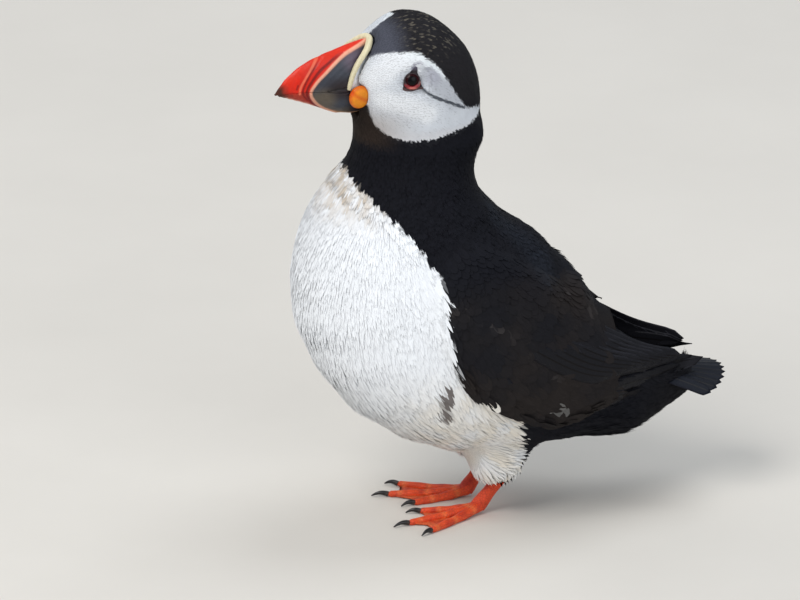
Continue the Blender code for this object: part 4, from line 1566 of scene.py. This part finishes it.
def make_eye(name, sign, finish):
    """The ball of the eye, with a fine grid so that the iris and pupil are crisp."""
    rows, around = 48, 56
    out, back, up = ball_grid(rows, around, 0.01).T
    radius = EYE_RADIUS - BALL_SLACK
    slim = np.minimum(1, BALL_REACH / np.maximum(np.hypot(back, up) * radius, 0.01))
    points = eye_spot(back * slim * radius, up * slim * radius, out * radius - EYE_SINK, sign)
    thing = piece_of(name, points, loft_faces(rows, around), finish)
    reach = np.hypot(back, up - 0.08)
    streak = 1 + 0.25 * np.sin(np.arctan2(up, back) * 23) * ease(PUPIL_REACH, IRIS_REACH, reach)
    colour = np.tile(IRIS_MAROON, (len(points), 1)) * streak[:, None]
    colour = blend(colour, PUPIL_BLACK, ease(PUPIL_REACH + 0.03, PUPIL_REACH - 0.03, reach))
    colour = blend(colour, EYE_RIM, ease(IRIS_REACH - 0.04, IRIS_REACH + 0.04, reach) + (out < 0))
    tinted(thing, np.clip(colour, 0, 1))
    return head_set(face_out(thing, MERGE_GAP))


def make_lid(name, sign, finish):
    """The fleshy ring round the eye: thin above, full and red below, with painted shadow darkening its upper
    part and a painted highlight along its bottom.
    """
    turn = np.linspace(0, ROUND, 96, endpoint=False)
    back = LID_HALF[0] * np.cos(turn)
    up = LID_HALF[1] * np.sin(turn) + LID_MIDDLE_UP
    low = ease(0.35, -0.75, np.sin(turn))
    path = eye_spot(back, up, dome(back, up) + 0.05 + 0.2 * low, sign)
    thick = (0.34 + 0.5 * low) * (1 + 0.07 * np.sin(turn * 17))
    path, thick = np.vstack([path, path[:1]]), np.append(thick, thick[0])
    points = tube_points(path, thick, thick * 1.1, 16, tilt=EYE_OUT * (sign, 1, 1))
    faces = loft_faces(len(path), 16, capped=False)
    ring = face_out(piece_of(name, points, faces, finish), MERGE_GAP)
    body = to_table(places(ring.data)) * (sign, 1, 1) - EYE_CENTRE
    height, behind = body @ EYE_UP, body @ EYE_BACK
    # A painted highlight along the bottom of the ring.
    lit = ease(2.6, 0.8, np.abs(behind - 0.1)) * ease(0.55, 0.15, np.abs(height + 3.0))
    tinted(ring, layered(
        LID_RED, len(body),
        # Painted shadow over the upper part of the ring.
        (LID_SHADOW, ease(-2.2, -0.6, height)),
        (LID_PINK, 0.85 * lit),
        (LID_PINK, 0.5 * ease(2.6, 3.8, behind) * ease(0.6, -1.0, height)),
        (PLATE_BROWN, 0.8 * ease(-3.4, -3.9, height)),
    ))
    return head_set(ring)


def skin_out(tree, back, up, sign):
    """How far out the skin stands at a place by the eye."""
    start = to_frame(pose_head(eye_spot(back, up, LOOK_FROM, sign)))
    inward = Vector(HEAD_SPIN @ (EYE_OUT * (-sign, -1, -1)))
    found = [tree.ray_cast(Vector(place), inward, LOOK_REACH)[3] for place in start]
    return LOOK_FROM - np.array([LOOK_FROM if gap is None else gap / MM for gap in found])


def make_plate(name, sign, tree, finish):
    """The dark three-cornered skin and horn that the eye sits in, hollowed round the ball."""
    edge = even([*EYE_OUTLINE, EYE_OUTLINE[0]], 110)[:-1]
    middle = np.array([0.0, LID_MIDDLE_UP])
    shares = np.concatenate([np.linspace(1.0, 0.88, 4), np.linspace(0.8, 0.04, 13)])
    points = []
    for share in shares[::sign]:
        spots = middle + (edge - middle) * share
        ball = np.hypot(spots[:, 0] / LID_HALF[0], (spots[:, 1] - LID_MIDDLE_UP) / LID_HALF[1])
        face = skin_out(tree, spots[:, 0], spots[:, 1], sign) + 0.35 - 0.6 * ease(0.9, 1.0, share)
        seat = dome(spots[:, 0], spots[:, 1]) - 1.2 * ease(1.0, 0.8, ball)
        out = face + (seat - face) * ease(1.3, 1.02, ball)
        out = np.where(ball > 1.08, np.maximum(out, face - 0.12), out)
        wrinkle = 0.05 * np.sin(spots[:, 1] * 5 + spots[:, 0] * 1.5) * ease(1.0, 0.9, share)
        points.append(eye_spot(spots[:, 0], spots[:, 1], out + wrinkle, sign))
    thing = piece_of(name, np.vstack(points), loft_faces(len(shares), len(edge)), finish)
    body = to_table(places(thing.data)) * (sign, 1, 1) - EYE_CENTRE
    height = body @ EYE_UP
    tinted(thing, layered(
        PLATE_DARK, len(body),
        (PLATE_PLUM, 0.8 * ease(3.9, 6.0, height)),
        (PLATE_BROWN, 0.9 * ease(-2.6, -3.6, height)),
        (PLATE_EDGE, 0.8 * ease(-4.2, -4.9, height)),
    ))
    return head_set(thing)


# ---------------------------------------------------------------- legs and feet

LEG_X = 11.0
ANKLE = np.array([LEG_X, -3.0, 4.4])
HEEL = np.array([LEG_X + 2.0, 14.0, 27.0])
TARSUS_HALF = (2.1, 2.9)
TARSUS_LENGTH = 19.0
# Each toe's turn outwards in degrees, its length and its claw's length.
TOES = (("inner", -12.0, 27.0, 6.5), ("middle", 13.0, 36.0, 7.5), ("outer", 36.0, 34.0, 6.5))
TOE_RADIUS = 2.15
KNUCKLES = (1.25, 0.95, 1.02, 0.8, 0.9, 0.72, 0.62)
CLAW_RADII = (1.25, 1.15, 0.98, 0.78, 0.56, 0.26)
CLAW_ROWS = 26
CLAW_AROUND = 20
SOLE = 0.12
# How the leg's skins are told apart when they are coloured.
TOE_KIND, WEB_KIND, SHANK_KIND = 0.0, 1.0, -1.0
LEG_ORANGE = paint(224, 74, 26)
LEG_RED = paint(186, 44, 18)
LEG_PALE = paint(242, 130, 70)
WEB_ORANGE = paint(214, 92, 44)
CLAW_BLACK = paint(24, 21, 22)
CLAW_EDGE = paint(74, 60, 54)


def above_floor(points):
    """Points as rows, none of them lower than the sole."""
    points = points.reshape(-1, 3)
    points[:, 2] = np.maximum(points[:, 2], SOLE)
    return points


def toe_line(turn, length, count, reach=1.0):
    """Places from the ankle out along a toe, just above the floor."""
    share = np.linspace(0, reach, count)
    angle = math.radians(turn)
    height = 1.35 + (ANKLE[2] - 2.2) * (1 - share) ** 3
    return np.column_stack([
        ANKLE[0] + math.sin(angle) * length * share, ANKLE[1] - math.cos(angle) * length * share, height,
    ])


def toe_skin(turn, length):
    """One toe, with its joints swollen and a row of scutes across its top."""
    rows, around = 90, 24
    path = toe_line(turn, length, rows)
    share = np.linspace(0, 1, rows)
    fat = softened(TOE_RADIUS * np.interp(share, np.linspace(0, 1, len(KNUCKLES)), KNUCKLES), 4)
    fat *= np.sqrt(np.clip((1.001 - share) / 0.06, 0.02, 1))
    scutes = 0.09 * np.abs(np.sin(share * length * math.pi / 1.5)) ** 0.5
    points = above_floor(tube_points(path, fat, fat + scutes, around))
    return points, loft_faces(rows, around), np.full(rows * around, TOE_KIND)


def web_skin(first, second):
    """The web between two toes: a thin fan of skin with its front edge drawn in."""
    rows, columns = 26, 22
    start = toe_line(first[1], first[2], rows, 0.97)
    end = toe_line(second[1], second[2], rows, 0.97)
    share = np.linspace(0, 1, columns)[None, :, None]
    along = np.linspace(0, 1, rows)[:, None, None]
    sheet = start[:, None] * (1 - share) + end[:, None] * share
    drawn = 1 - 0.15 * np.sin(math.pi * share) * along
    heel = ANKLE * (1, 1, 0)
    sheet = heel + (sheet - heel) * np.concatenate([drawn, drawn, 0 * drawn + 1], axis=2)
    sag = 0.12 * np.sin(share[..., 0] * 34) + 0.1 * np.sin(along[..., 0] * 40 + share[..., 0] * 9)
    top = sheet.copy()
    top[..., 2] = 1.15 + sag * np.sin(math.pi * share[..., 0])
    under = sheet.copy()
    under[..., 2] = 0.5
    rings = np.concatenate([top, under[:, ::-1]], axis=1)
    return rings.reshape(-1, 3), loft_faces(rows, 2 * columns), np.full(rows * 2 * columns, WEB_KIND)


def shank_skin():
    """The shank from the ankle into the thigh feathers, scaled all round."""
    rows, around = 90, 40
    axis = unit(HEEL - ANKLE)
    side = np.array([1.0, 0, 0])
    front = unit(np.cross(axis, side))
    reach = np.linspace(-1.4, TARSUS_LENGTH, rows)
    fat = 1 + 0.22 * np.exp(-((reach / 4.5) ** 2)) + 0.18 * np.exp(-(((reach - TARSUS_LENGTH) / 6) ** 2))
    turn = np.linspace(0, ROUND, around, endpoint=False)
    plates = np.abs(np.sin(reach[:, None] * 2.1 + 0.6 * np.sin(turn * 3))) ** 0.4
    plates = plates * np.abs(np.sin(turn[None, :] * 6 + np.floor(reach[:, None] / 1.5) * 1.57)) ** 0.3
    grow = 0.12 * plates
    across = np.cos(turn) * (TARSUS_HALF[0] * fat[:, None] + grow)
    along = np.sin(turn) * (TARSUS_HALF[1] * fat[:, None] + grow)
    points = ANKLE + reach[:, None, None] * axis + across[..., None] * side + along[..., None] * front
    return above_floor(points), loft_faces(rows, around), np.full(rows * around, SHANK_KIND)


def make_leg(name, sign, finish):
    """One leg: shank, three toes and two webs."""
    skins = [toe_skin(turn, length) for _, turn, length, _ in TOES]
    skins += [web_skin(TOES[0], TOES[1]), web_skin(TOES[1], TOES[2]), shank_skin()]
    points, faces, kind = gather(skins)
    points = points * (sign, 1, 1)
    thing = face_out(piece_of(name, points, faces, finish))
    joints = np.exp(-(((np.hypot(points[:, 0] - sign * LEG_X, points[:, 1] + 3) % 12 - 6) / 1.2) ** 2))
    colour = layered(
        LEG_ORANGE, len(points),
        (WEB_ORANGE, kind == WEB_KIND),
        (LEG_RED, 0.7 * ease(0, 1, ripple(points, 6, 51)) + 0.3 * (kind == SHANK_KIND)),
        (LEG_PALE, 0.5 * joints * (kind == TOE_KIND)),
    )
    return tinted(thing, np.clip(colour, 0, 1))


def make_claws(name, sign, finish):
    """Three curved claws on one foot."""
    skins = []
    for _, turn, length, claw in TOES:
        angle = math.radians(turn)
        out = np.array([math.sin(angle), -math.cos(angle), 0])
        share = np.linspace(0, 1, CLAW_ROWS)[:, None]
        path = toe_line(turn, length, 2)[-1] + out * (claw * share - 0.7)
        path = path + np.array([0, 0, 1.0]) * (0.95 * np.sin(math.pi * share) - 0.75 * share)
        fat = np.interp(share[:, 0], np.linspace(0, 1, 6), CLAW_RADII)
        points = above_floor(tube_points(path, fat * 0.86, fat, CLAW_AROUND))
        skins.append((points, loft_faces(CLAW_ROWS, CLAW_AROUND), np.repeat(share[:, 0], CLAW_AROUND)))
    points, faces, along = gather(skins)
    thing = face_out(piece_of(name, points * (sign, 1, 1), faces, finish))
    return tinted(thing, layered(CLAW_BLACK, len(along), (CLAW_EDGE, 0.5 * ease(0.3, 0, along))))


# ---------------------------------------------------------------- flight feathers

WING_LOWER_EDGE = (
    (-27, 132), (-31.5, 121), (-31.5, 109), (-28.5, 95), (-23, 82), (-13, 68.5), (3, 57.5), (20, 50),
    (35, 49.5), (49, 53), (61, 56), (73, 56), (85, 58), (94, 61.5), (100.5, 66),
)
WING_UPPER_EDGE = (
    (-23, 138), (-11, 138), (7, 132), (25, 121), (43, 106), (57, 92), (71, 79.5), (83, 73), (93, 70),
    (100.5, 66),
)
VANE_ROWS = 18
VANE_SIDES = (-1, -0.72, -0.4, -0.1, 0, 0.1, 0.4, 0.72, 1)
VANE_UNDER = (0.72, 0, -0.72)
TAIL_NAVY = paint(8, 12, 23)
SHEET_ROWS = 41
SHEET_COLUMNS = 15


class Drape:
    """A smooth sheet over the outer side of the folded left wing, to lay feathers on.

    Places on it are told by how far along it they are, from shoulder to tip, and how far up, from
    the wing's lower to its upper edge.
    """

    def __init__(self, nodes):
        self.tree = solid_tree([frame["nodes"][node].data for node in nodes])
        lower = even(WING_LOWER_EDGE, SHEET_ROWS)
        upper = even(WING_UPPER_EDGE, SHEET_ROWS)
        up = np.linspace(0, 1, SHEET_COLUMNS)[None, :, None]
        side = lower[:, None, :] * (1 - up) + upper[:, None, :] * up
        reach = np.array([[self.reach(y, z) for y, z in row] for row in side])
        for _ in range(2):
            reach = np.maximum(reach, self.spread(reach))
        for _ in range(6):
            reach = self.spread(reach)
        self.sheet = np.concatenate([reach[:, :, None], side], axis=2)
        run = np.gradient(self.sheet, axis=0)
        climb = np.gradient(self.sheet, axis=1)
        self.outs = unit(np.cross(run, climb))

    def reach(self, y, z):
        """How far out the solids stand at a place of the side view."""
        place = self.tree.ray_cast(Vector(to_frame((95.0, y, z))), Vector((-1, 0, 0)))[0]
        if place is None:
            place = self.tree.find_nearest(Vector(to_frame((20.0, y, z))))[0]
        return to_table(place)[0]

    def spread(self, rows):
        """Each value of the sheet drawn to its neighbours' middle."""
        wide = np.pad(rows, 1, mode="edge")
        middle = wide[:-2, 1:-1] + wide[2:, 1:-1] + wide[1:-1, :-2] + wide[1:-1, 2:]
        return 0.5 * rows + 0.125 * middle

    def spot(self, along, up):
        """The place and the outward direction at a place of the sheet."""
        row = np.clip(along, 0, 1) * (SHEET_ROWS - 1)
        column = np.clip(up, 0, 1) * (SHEET_COLUMNS - 1)
        i, j = min(int(row), SHEET_ROWS - 2), min(int(column), SHEET_COLUMNS - 2)
        s, t = row - i, column - j
        found = []
        for rows in (self.sheet, self.outs):
            near = rows[i, j] * (1 - t) + rows[i, j + 1] * t
            far = rows[i + 1, j] * (1 - t) + rows[i + 1, j + 1] * t
            found.append(near * (1 - s) + far * s)
        return found


def smooth_rows(rows, rounds):
    """Rows of places evened out along their line, ends kept."""
    rows = rows.copy()
    for _ in range(rounds):
        rows[1:-1] = 0.25 * rows[:-2] + 0.5 * rows[1:-1] + 0.25 * rows[2:]
    return rows


def vane(spine, out, outer, inner, camber, thick, blunt=0.16):
    """One closed, cambered feather along a spine, with its shaft raised; returns points, faces and notes."""
    ahead = unit(np.gradient(spine, axis=0))
    side = unit(np.cross(out, ahead))
    share = np.linspace(0, 1, len(spine))
    body = np.interp(share, (0, 0.12, 0.5, 1), (0.35, 0.8, 1.0, 0.92))
    close = np.sqrt(np.clip(1 - ((share - (1 - blunt)) / blunt) ** 2, 0, 1))
    width = body * np.where(share > 1 - blunt, np.maximum(close, 0.04), 1)
    rings = []
    notes = []
    for sides, depth in ((VANE_SIDES, 0.0), (VANE_UNDER, -thick)):
        for s in sides:
            half = (outer if s > 0 else inner) * abs(s) * width
            shaft = 0.22 * math.exp(-((s / 0.07) ** 2)) * (1 - 0.7 * share)
            height = shaft * (depth == 0) + depth * (1 - 0.7 * abs(s)) - camber * s * s
            rings.append(spine + side * (math.copysign(1, s) * half)[:, None] + out * height[:, None])
            under = np.full(len(share), float(depth < 0))
            notes.append(np.column_stack([share, np.full(len(share), s), under]))
    points = np.stack(rings, axis=1).reshape(-1, 3)
    return points, loft_faces(len(spine), len(rings)), np.stack(notes, axis=1).reshape(-1, 3)


def vane_piece(name, vanes, finish, colour, seed):
    """Several feathers as one piece, with their own unwrap in strips."""
    draw = np.random.default_rng(seed)
    points, faces, notes = gather(vanes)
    owner = np.repeat(np.arange(len(vanes)), [len(rows) for rows, _, _ in vanes])
    thing = piece_of(name, points, faces, finish)
    mesh = thing.data
    shade = draw.uniform(0, 1, len(vanes))[owner]
    tone = draw.uniform(0.86, 1.1, len(vanes))[owner]
    note(mesh, "along", "FLOAT", notes[:, 0])
    note(mesh, "across", "FLOAT", notes[:, 1])
    note(mesh, "shade", "FLOAT", shade)
    tinted(thing, np.tile(colour, (len(points), 1)) * tone[:, None])
    strip = (owner + 0.25 + 0.2 * notes[:, 1] + 0.5 * notes[:, 2]) / len(vanes)
    flat = np.column_stack([strip, 0.02 + 0.96 * notes[:, 0]])
    note(mesh, "OFBake", "FLOAT2", flat[corner_points(mesh)], "CORNER")
    return face_out(thing)


def laid_vane(drape, root, tip, outer, inner, lift, sign, bend=0.0):
    """A feather laid on the wing from root to tip, both (along, up), with its lift above the solids."""
    share = np.linspace(0, 1, VANE_ROWS)
    spine = []
    outs = []
    for s in share:
        along = root[0] + (tip[0] - root[0]) * s
        up = root[1] + (tip[1] - root[1]) * s + bend * math.sin(math.pi * s)
        place, out = drape.spot(along, up)
        spine.append(place)
        outs.append(out)
    outs = unit(smooth_rows(np.array(outs), 6))
    rise = lift[0] + (lift[1] - lift[0]) * ease(0.15, 0.5, share)
    spine = smooth_rows(np.array(spine), 4) + outs * rise[:, None]
    flip = np.array([sign, 1, 1])
    if sign < 0:
        outer, inner = inner, outer
    return vane(spine * flip, outs * flip, outer, inner, 0.35, 0.28)


def wing_vanes(drape, sign):
    """The long feathers of one folded wing, from the outermost primary up to the tertials."""
    vanes = []
    fold = 0.0 if sign > 0 else 0.4
    for k in range(9):
        tip = (0.998 - 0.03 * k, fold + (1 - fold) * (0.5 + 0.025 * k))
        root = (0.46, 0.1 + 0.09 * k)
        vanes.append(laid_vane(drape, root, tip, 3.4, 4.6, (-1.6, -1.5 + 0.1 * k), sign))
    for k in range(7):
        tip = (0.93 - 0.04 * k, fold + (1 - fold) * (0.3 - 0.012 * k))
        root = (0.42, 0.3 + 0.02 * k)
        vanes.append(laid_vane(drape, root, tip, 3.8, 4.2, (-1.2, -0.7 + 0.12 * k), sign, -0.03))
    for k in range(8):
        along = 0.78 - 0.032 * k
        root = (along - 0.34, 0.42 - 0.01 * k)
        tip = (along, 0.06 + 0.006 * k)
        vanes.append(laid_vane(drape, root, tip, 4.2, 4.6, (-1.0, 0.1 + 0.05 * k), sign, -0.05))
    for k in range(9):
        along = 0.92 - 0.03 * k
        root = (along - 0.42, 0.84 - 0.045 * k)
        tip = (along + (0.05 if sign < 0 else 0), 0.74 - 0.035 * k)
        vanes.append(laid_vane(drape, root, tip, 4.2, 4.2, (-0.8, 0.4 + 0.06 * k), sign, 0.02))
    return vanes


TAIL_FEATHERS = 12
TAIL_ROOT = np.array([0.0, 61.0, 63.0])
TAIL_START = 13.0
TAIL_REACH = 51.0
TAIL_SPREAD = math.radians(34)
TAIL_SLOPE = math.radians(7.5)
TAIL_DROOP = 7.0


def tail_vanes():
    """Twelve tail feathers in a rounded fan, the middle pair on top."""
    vanes = []
    places_across = (np.arange(TAIL_FEATHERS) + 0.5) / TAIL_FEATHERS * 2 - 1
    for v in sorted(places_across, key=lambda place: -abs(place)):
        turn = TAIL_SPREAD * v
        tip = (TAIL_REACH - TAIL_START) * (1 - 0.16 * v * v)
        reach = TAIL_START - 3 + (tip + 3) * np.linspace(0, 1, VANE_ROWS)
        x, y = reach * math.sin(turn), reach * math.cos(turn)
        hang = TAIL_DROOP * (x / TAIL_REACH / math.sin(TAIL_SPREAD)) ** 2
        z = -y * math.tan(TAIL_SLOPE) - hang + 0.55 * (1 - abs(v)) - 0.2
        spine = TAIL_ROOT + np.column_stack([x, y, z])
        out = unit(np.tile([0.5 * v, 0.13, 1.0], (VANE_ROWS, 1)))
        vanes.append(vane(spine, out, 4.3, 4.3, 0.3, 0.3, blunt=0.09))
    return vanes


# ---------------------------------------------------------------- the bird, piece by piece

FLOOR_HALF = 30000

corners = [(FLOOR_HALF * x, FLOOR_HALF * y, 0) for x, y in ((-1, -1), (1, -1), (1, 1), (-1, 1))]
floor = piece_of("floor", corners, [(0, 1, 2, 3)], floor_finish())

BLACK_DOWN = feather_finish("black_down", 0.75, 6.0, 0.22, 0.75, 0.8, 0.08)
WHITE_DOWN = feather_finish("white_down", 0.9, 4.0, 0.04, 0.96, 1.0, 0.2)
FACE_DOWN = feather_finish("face_down", 0.9, 3.0, 0.03, 0.97, 1.0, 0.2)
CAP_DOWN = feather_finish("cap_down", 0.75, 4.0, 0.2, 0.75, 0.85, 0.08)
COVERT_VANE = feather_finish("covert_vane", 0.7, 12.0, 0.2, 0.8, 0.75, 0.08)
FLIGHT_VANE = flight_finish()
BILL_HORN = horn_finish("bill_horn", 0.4, 900.0, 0.05, 0.00005, Specular_IOR_Level=0.3)
RIM_SKIN = horn_finish("rim_skin", 0.55, 1400.0, 0.08, 0.00012)
ROSETTE_SKIN = horn_finish("rosette_skin", 0.5, 1100.0, 0.08, 0.0001, Specular_IOR_Level=0.3)
LID_SKIN = horn_finish("lid_skin", 0.45, 2000.0, 0.1, 0.00006)
LEG_SKIN = scaled_finish("leg_skin", 0.5, 900.0, 0.0001)
CLAW_HORN = horn_finish("claw_horn", 0.35, 700.0, 0.15, 0.00004)
WET_EYE = eye_finish()

skin = make_skin()
parts = mark_parts(skin)
map_skin(skin)
skin.data.materials.append(skin_finish())

ROOT_TREE = root_tree()
COAT_TREE = coat_tree()
SOFT = feather_stock("soft_tufts", [leaf(2, 5, 0.62, seed, SOFT_PROFILE) for seed in (11, 12, 13, 14)])
SILK = feather_stock("silk_tufts", [leaf(4, 2, 1.0, seed, SILK_PROFILE) for seed in (15, 16)])
FINE = feather_stock("fine_tufts", [leaf(2, 3, 0.7, seed, FINE_PROFILE) for seed in (21, 22, 23, 24)])
COVERTS = feather_stock("coverts", [leaf(7, 4, 1.0, 31, COVERT_PROFILE)])

SLATE, BLACK, WHITE = "slate_feathers", "black_feathers", "white_feathers"
LAYERS = (
    (SLATE, dict(
        name="coat_face", stock=FINE, finish=FACE_DOWN, seed=101, spacing=0.65, width=0.34, rise=FACE_RISE,
        mottle=0.0, stray=0.5,
    )),
    (SLATE, dict(
        name="coat_crown", stock=FINE, finish=CAP_DOWN, seed=102, spacing=0.75, width=0.27, rise=0.08,
    )),
    (BLACK, dict(
        name="coat_neck", stock=SOFT, finish=BLACK_DOWN, seed=103, spacing=1.35, width=0.34, rise=BLACK_RISE,
        mottle=0.12,
    )),
    (WHITE, dict(
        name="coat_breast", stock=SILK, finish=WHITE_DOWN, seed=104, spacing=1.0, width=0.17, rise=WHITE_RISE,
        stretch=1.2, mottle=0.006, stray=0.5,
    )),
    (WHITE, dict(
        name="coat_belly", stock=SILK, finish=WHITE_DOWN, seed=105, spacing=1.1, width=0.17, rise=0.035,
        stretch=1.15, mottle=0.008, stray=0.6,
    )),
    (BLACK, dict(
        name="coat_back", stock=SOFT, finish=BLACK_DOWN, seed=106, spacing=1.6, width=0.4, rise=BLACK_RISE,
        mottle=0.12,
    )),
    (BLACK, dict(
        name="coat_rump", stock=SOFT, finish=BLACK_DOWN, seed=107, spacing=1.6, width=0.4, rise=0.11,
    )),
    (BLACK, dict(
        name="coat_wing_left", stock=COVERTS, finish=COVERT_VANE, seed=108, spacing=2.0, width=0.5,
        rise=ARM_RISE, stretch=1.05, mottle=0.05,
    )),
    (BLACK, dict(
        name="coat_wing_right", stock=COVERTS, finish=COVERT_VANE, seed=109, spacing=2.0, width=0.5,
        rise=ARM_RISE, stretch=1.05, mottle=0.05,
    )),
)
for slot, layer in LAYERS:
    settle(lay_coat(skin, **layer), slot)
for name in parts:
    skin.data.attributes.remove(skin.data.attributes[name])
settle(skin, WHITE, *FLESH)
skin_tree = solid_tree([skin.data])

wing_side = Drape(("wing_left", "primaries_left", "trunk"))
for side, sign in SIDES:
    vanes = wing_vanes(wing_side, sign)
    feathers = vane_piece(f"flight_feathers_{side}", vanes, FLIGHT_VANE, WING_BLACK, 200 + sign)
    settle(feathers, BLACK, f"primaries_{side}")
settle(vane_piece("tail_feathers", tail_vanes(), FLIGHT_VANE, TAIL_NAVY, 210), BLACK, "tail")

settle(bill_half("bill_upper_horn", CULMEN, 1, BILL_HORN), "bill_horn", "bill_upper")
settle(bill_half("bill_lower_horn", KEEL, -1, BILL_HORN), "bill_horn", "bill_lower")
settle(make_rim(RIM_SKIN), "rim_skin", "bill_rim")
for side, sign in SIDES:
    settle(make_rosette(f"mouth_rosette_{side}", sign, ROSETTE_SKIN), "rosette_skin", f"rosette_{side}")
    settle(make_eye(f"eyeball_{side}", sign, WET_EYE), "eye", f"eye_{side}")
    settle(make_lid(f"eyelid_{side}", sign, LID_SKIN), "slate_feathers")
    settle(make_plate(f"eye_plate_{side}", sign, skin_tree, LID_SKIN), "slate_feathers")
    settle(make_leg(f"leg_{side}", sign, LEG_SKIN), "leg_skin", f"foot_{side}", f"tarsus_{side}")
    claws = [f"claw_{side}_{toe[0]}" for toe in TOES]
    settle(make_claws(f"claws_{side}", sign, CLAW_HORN), "claw", *claws)
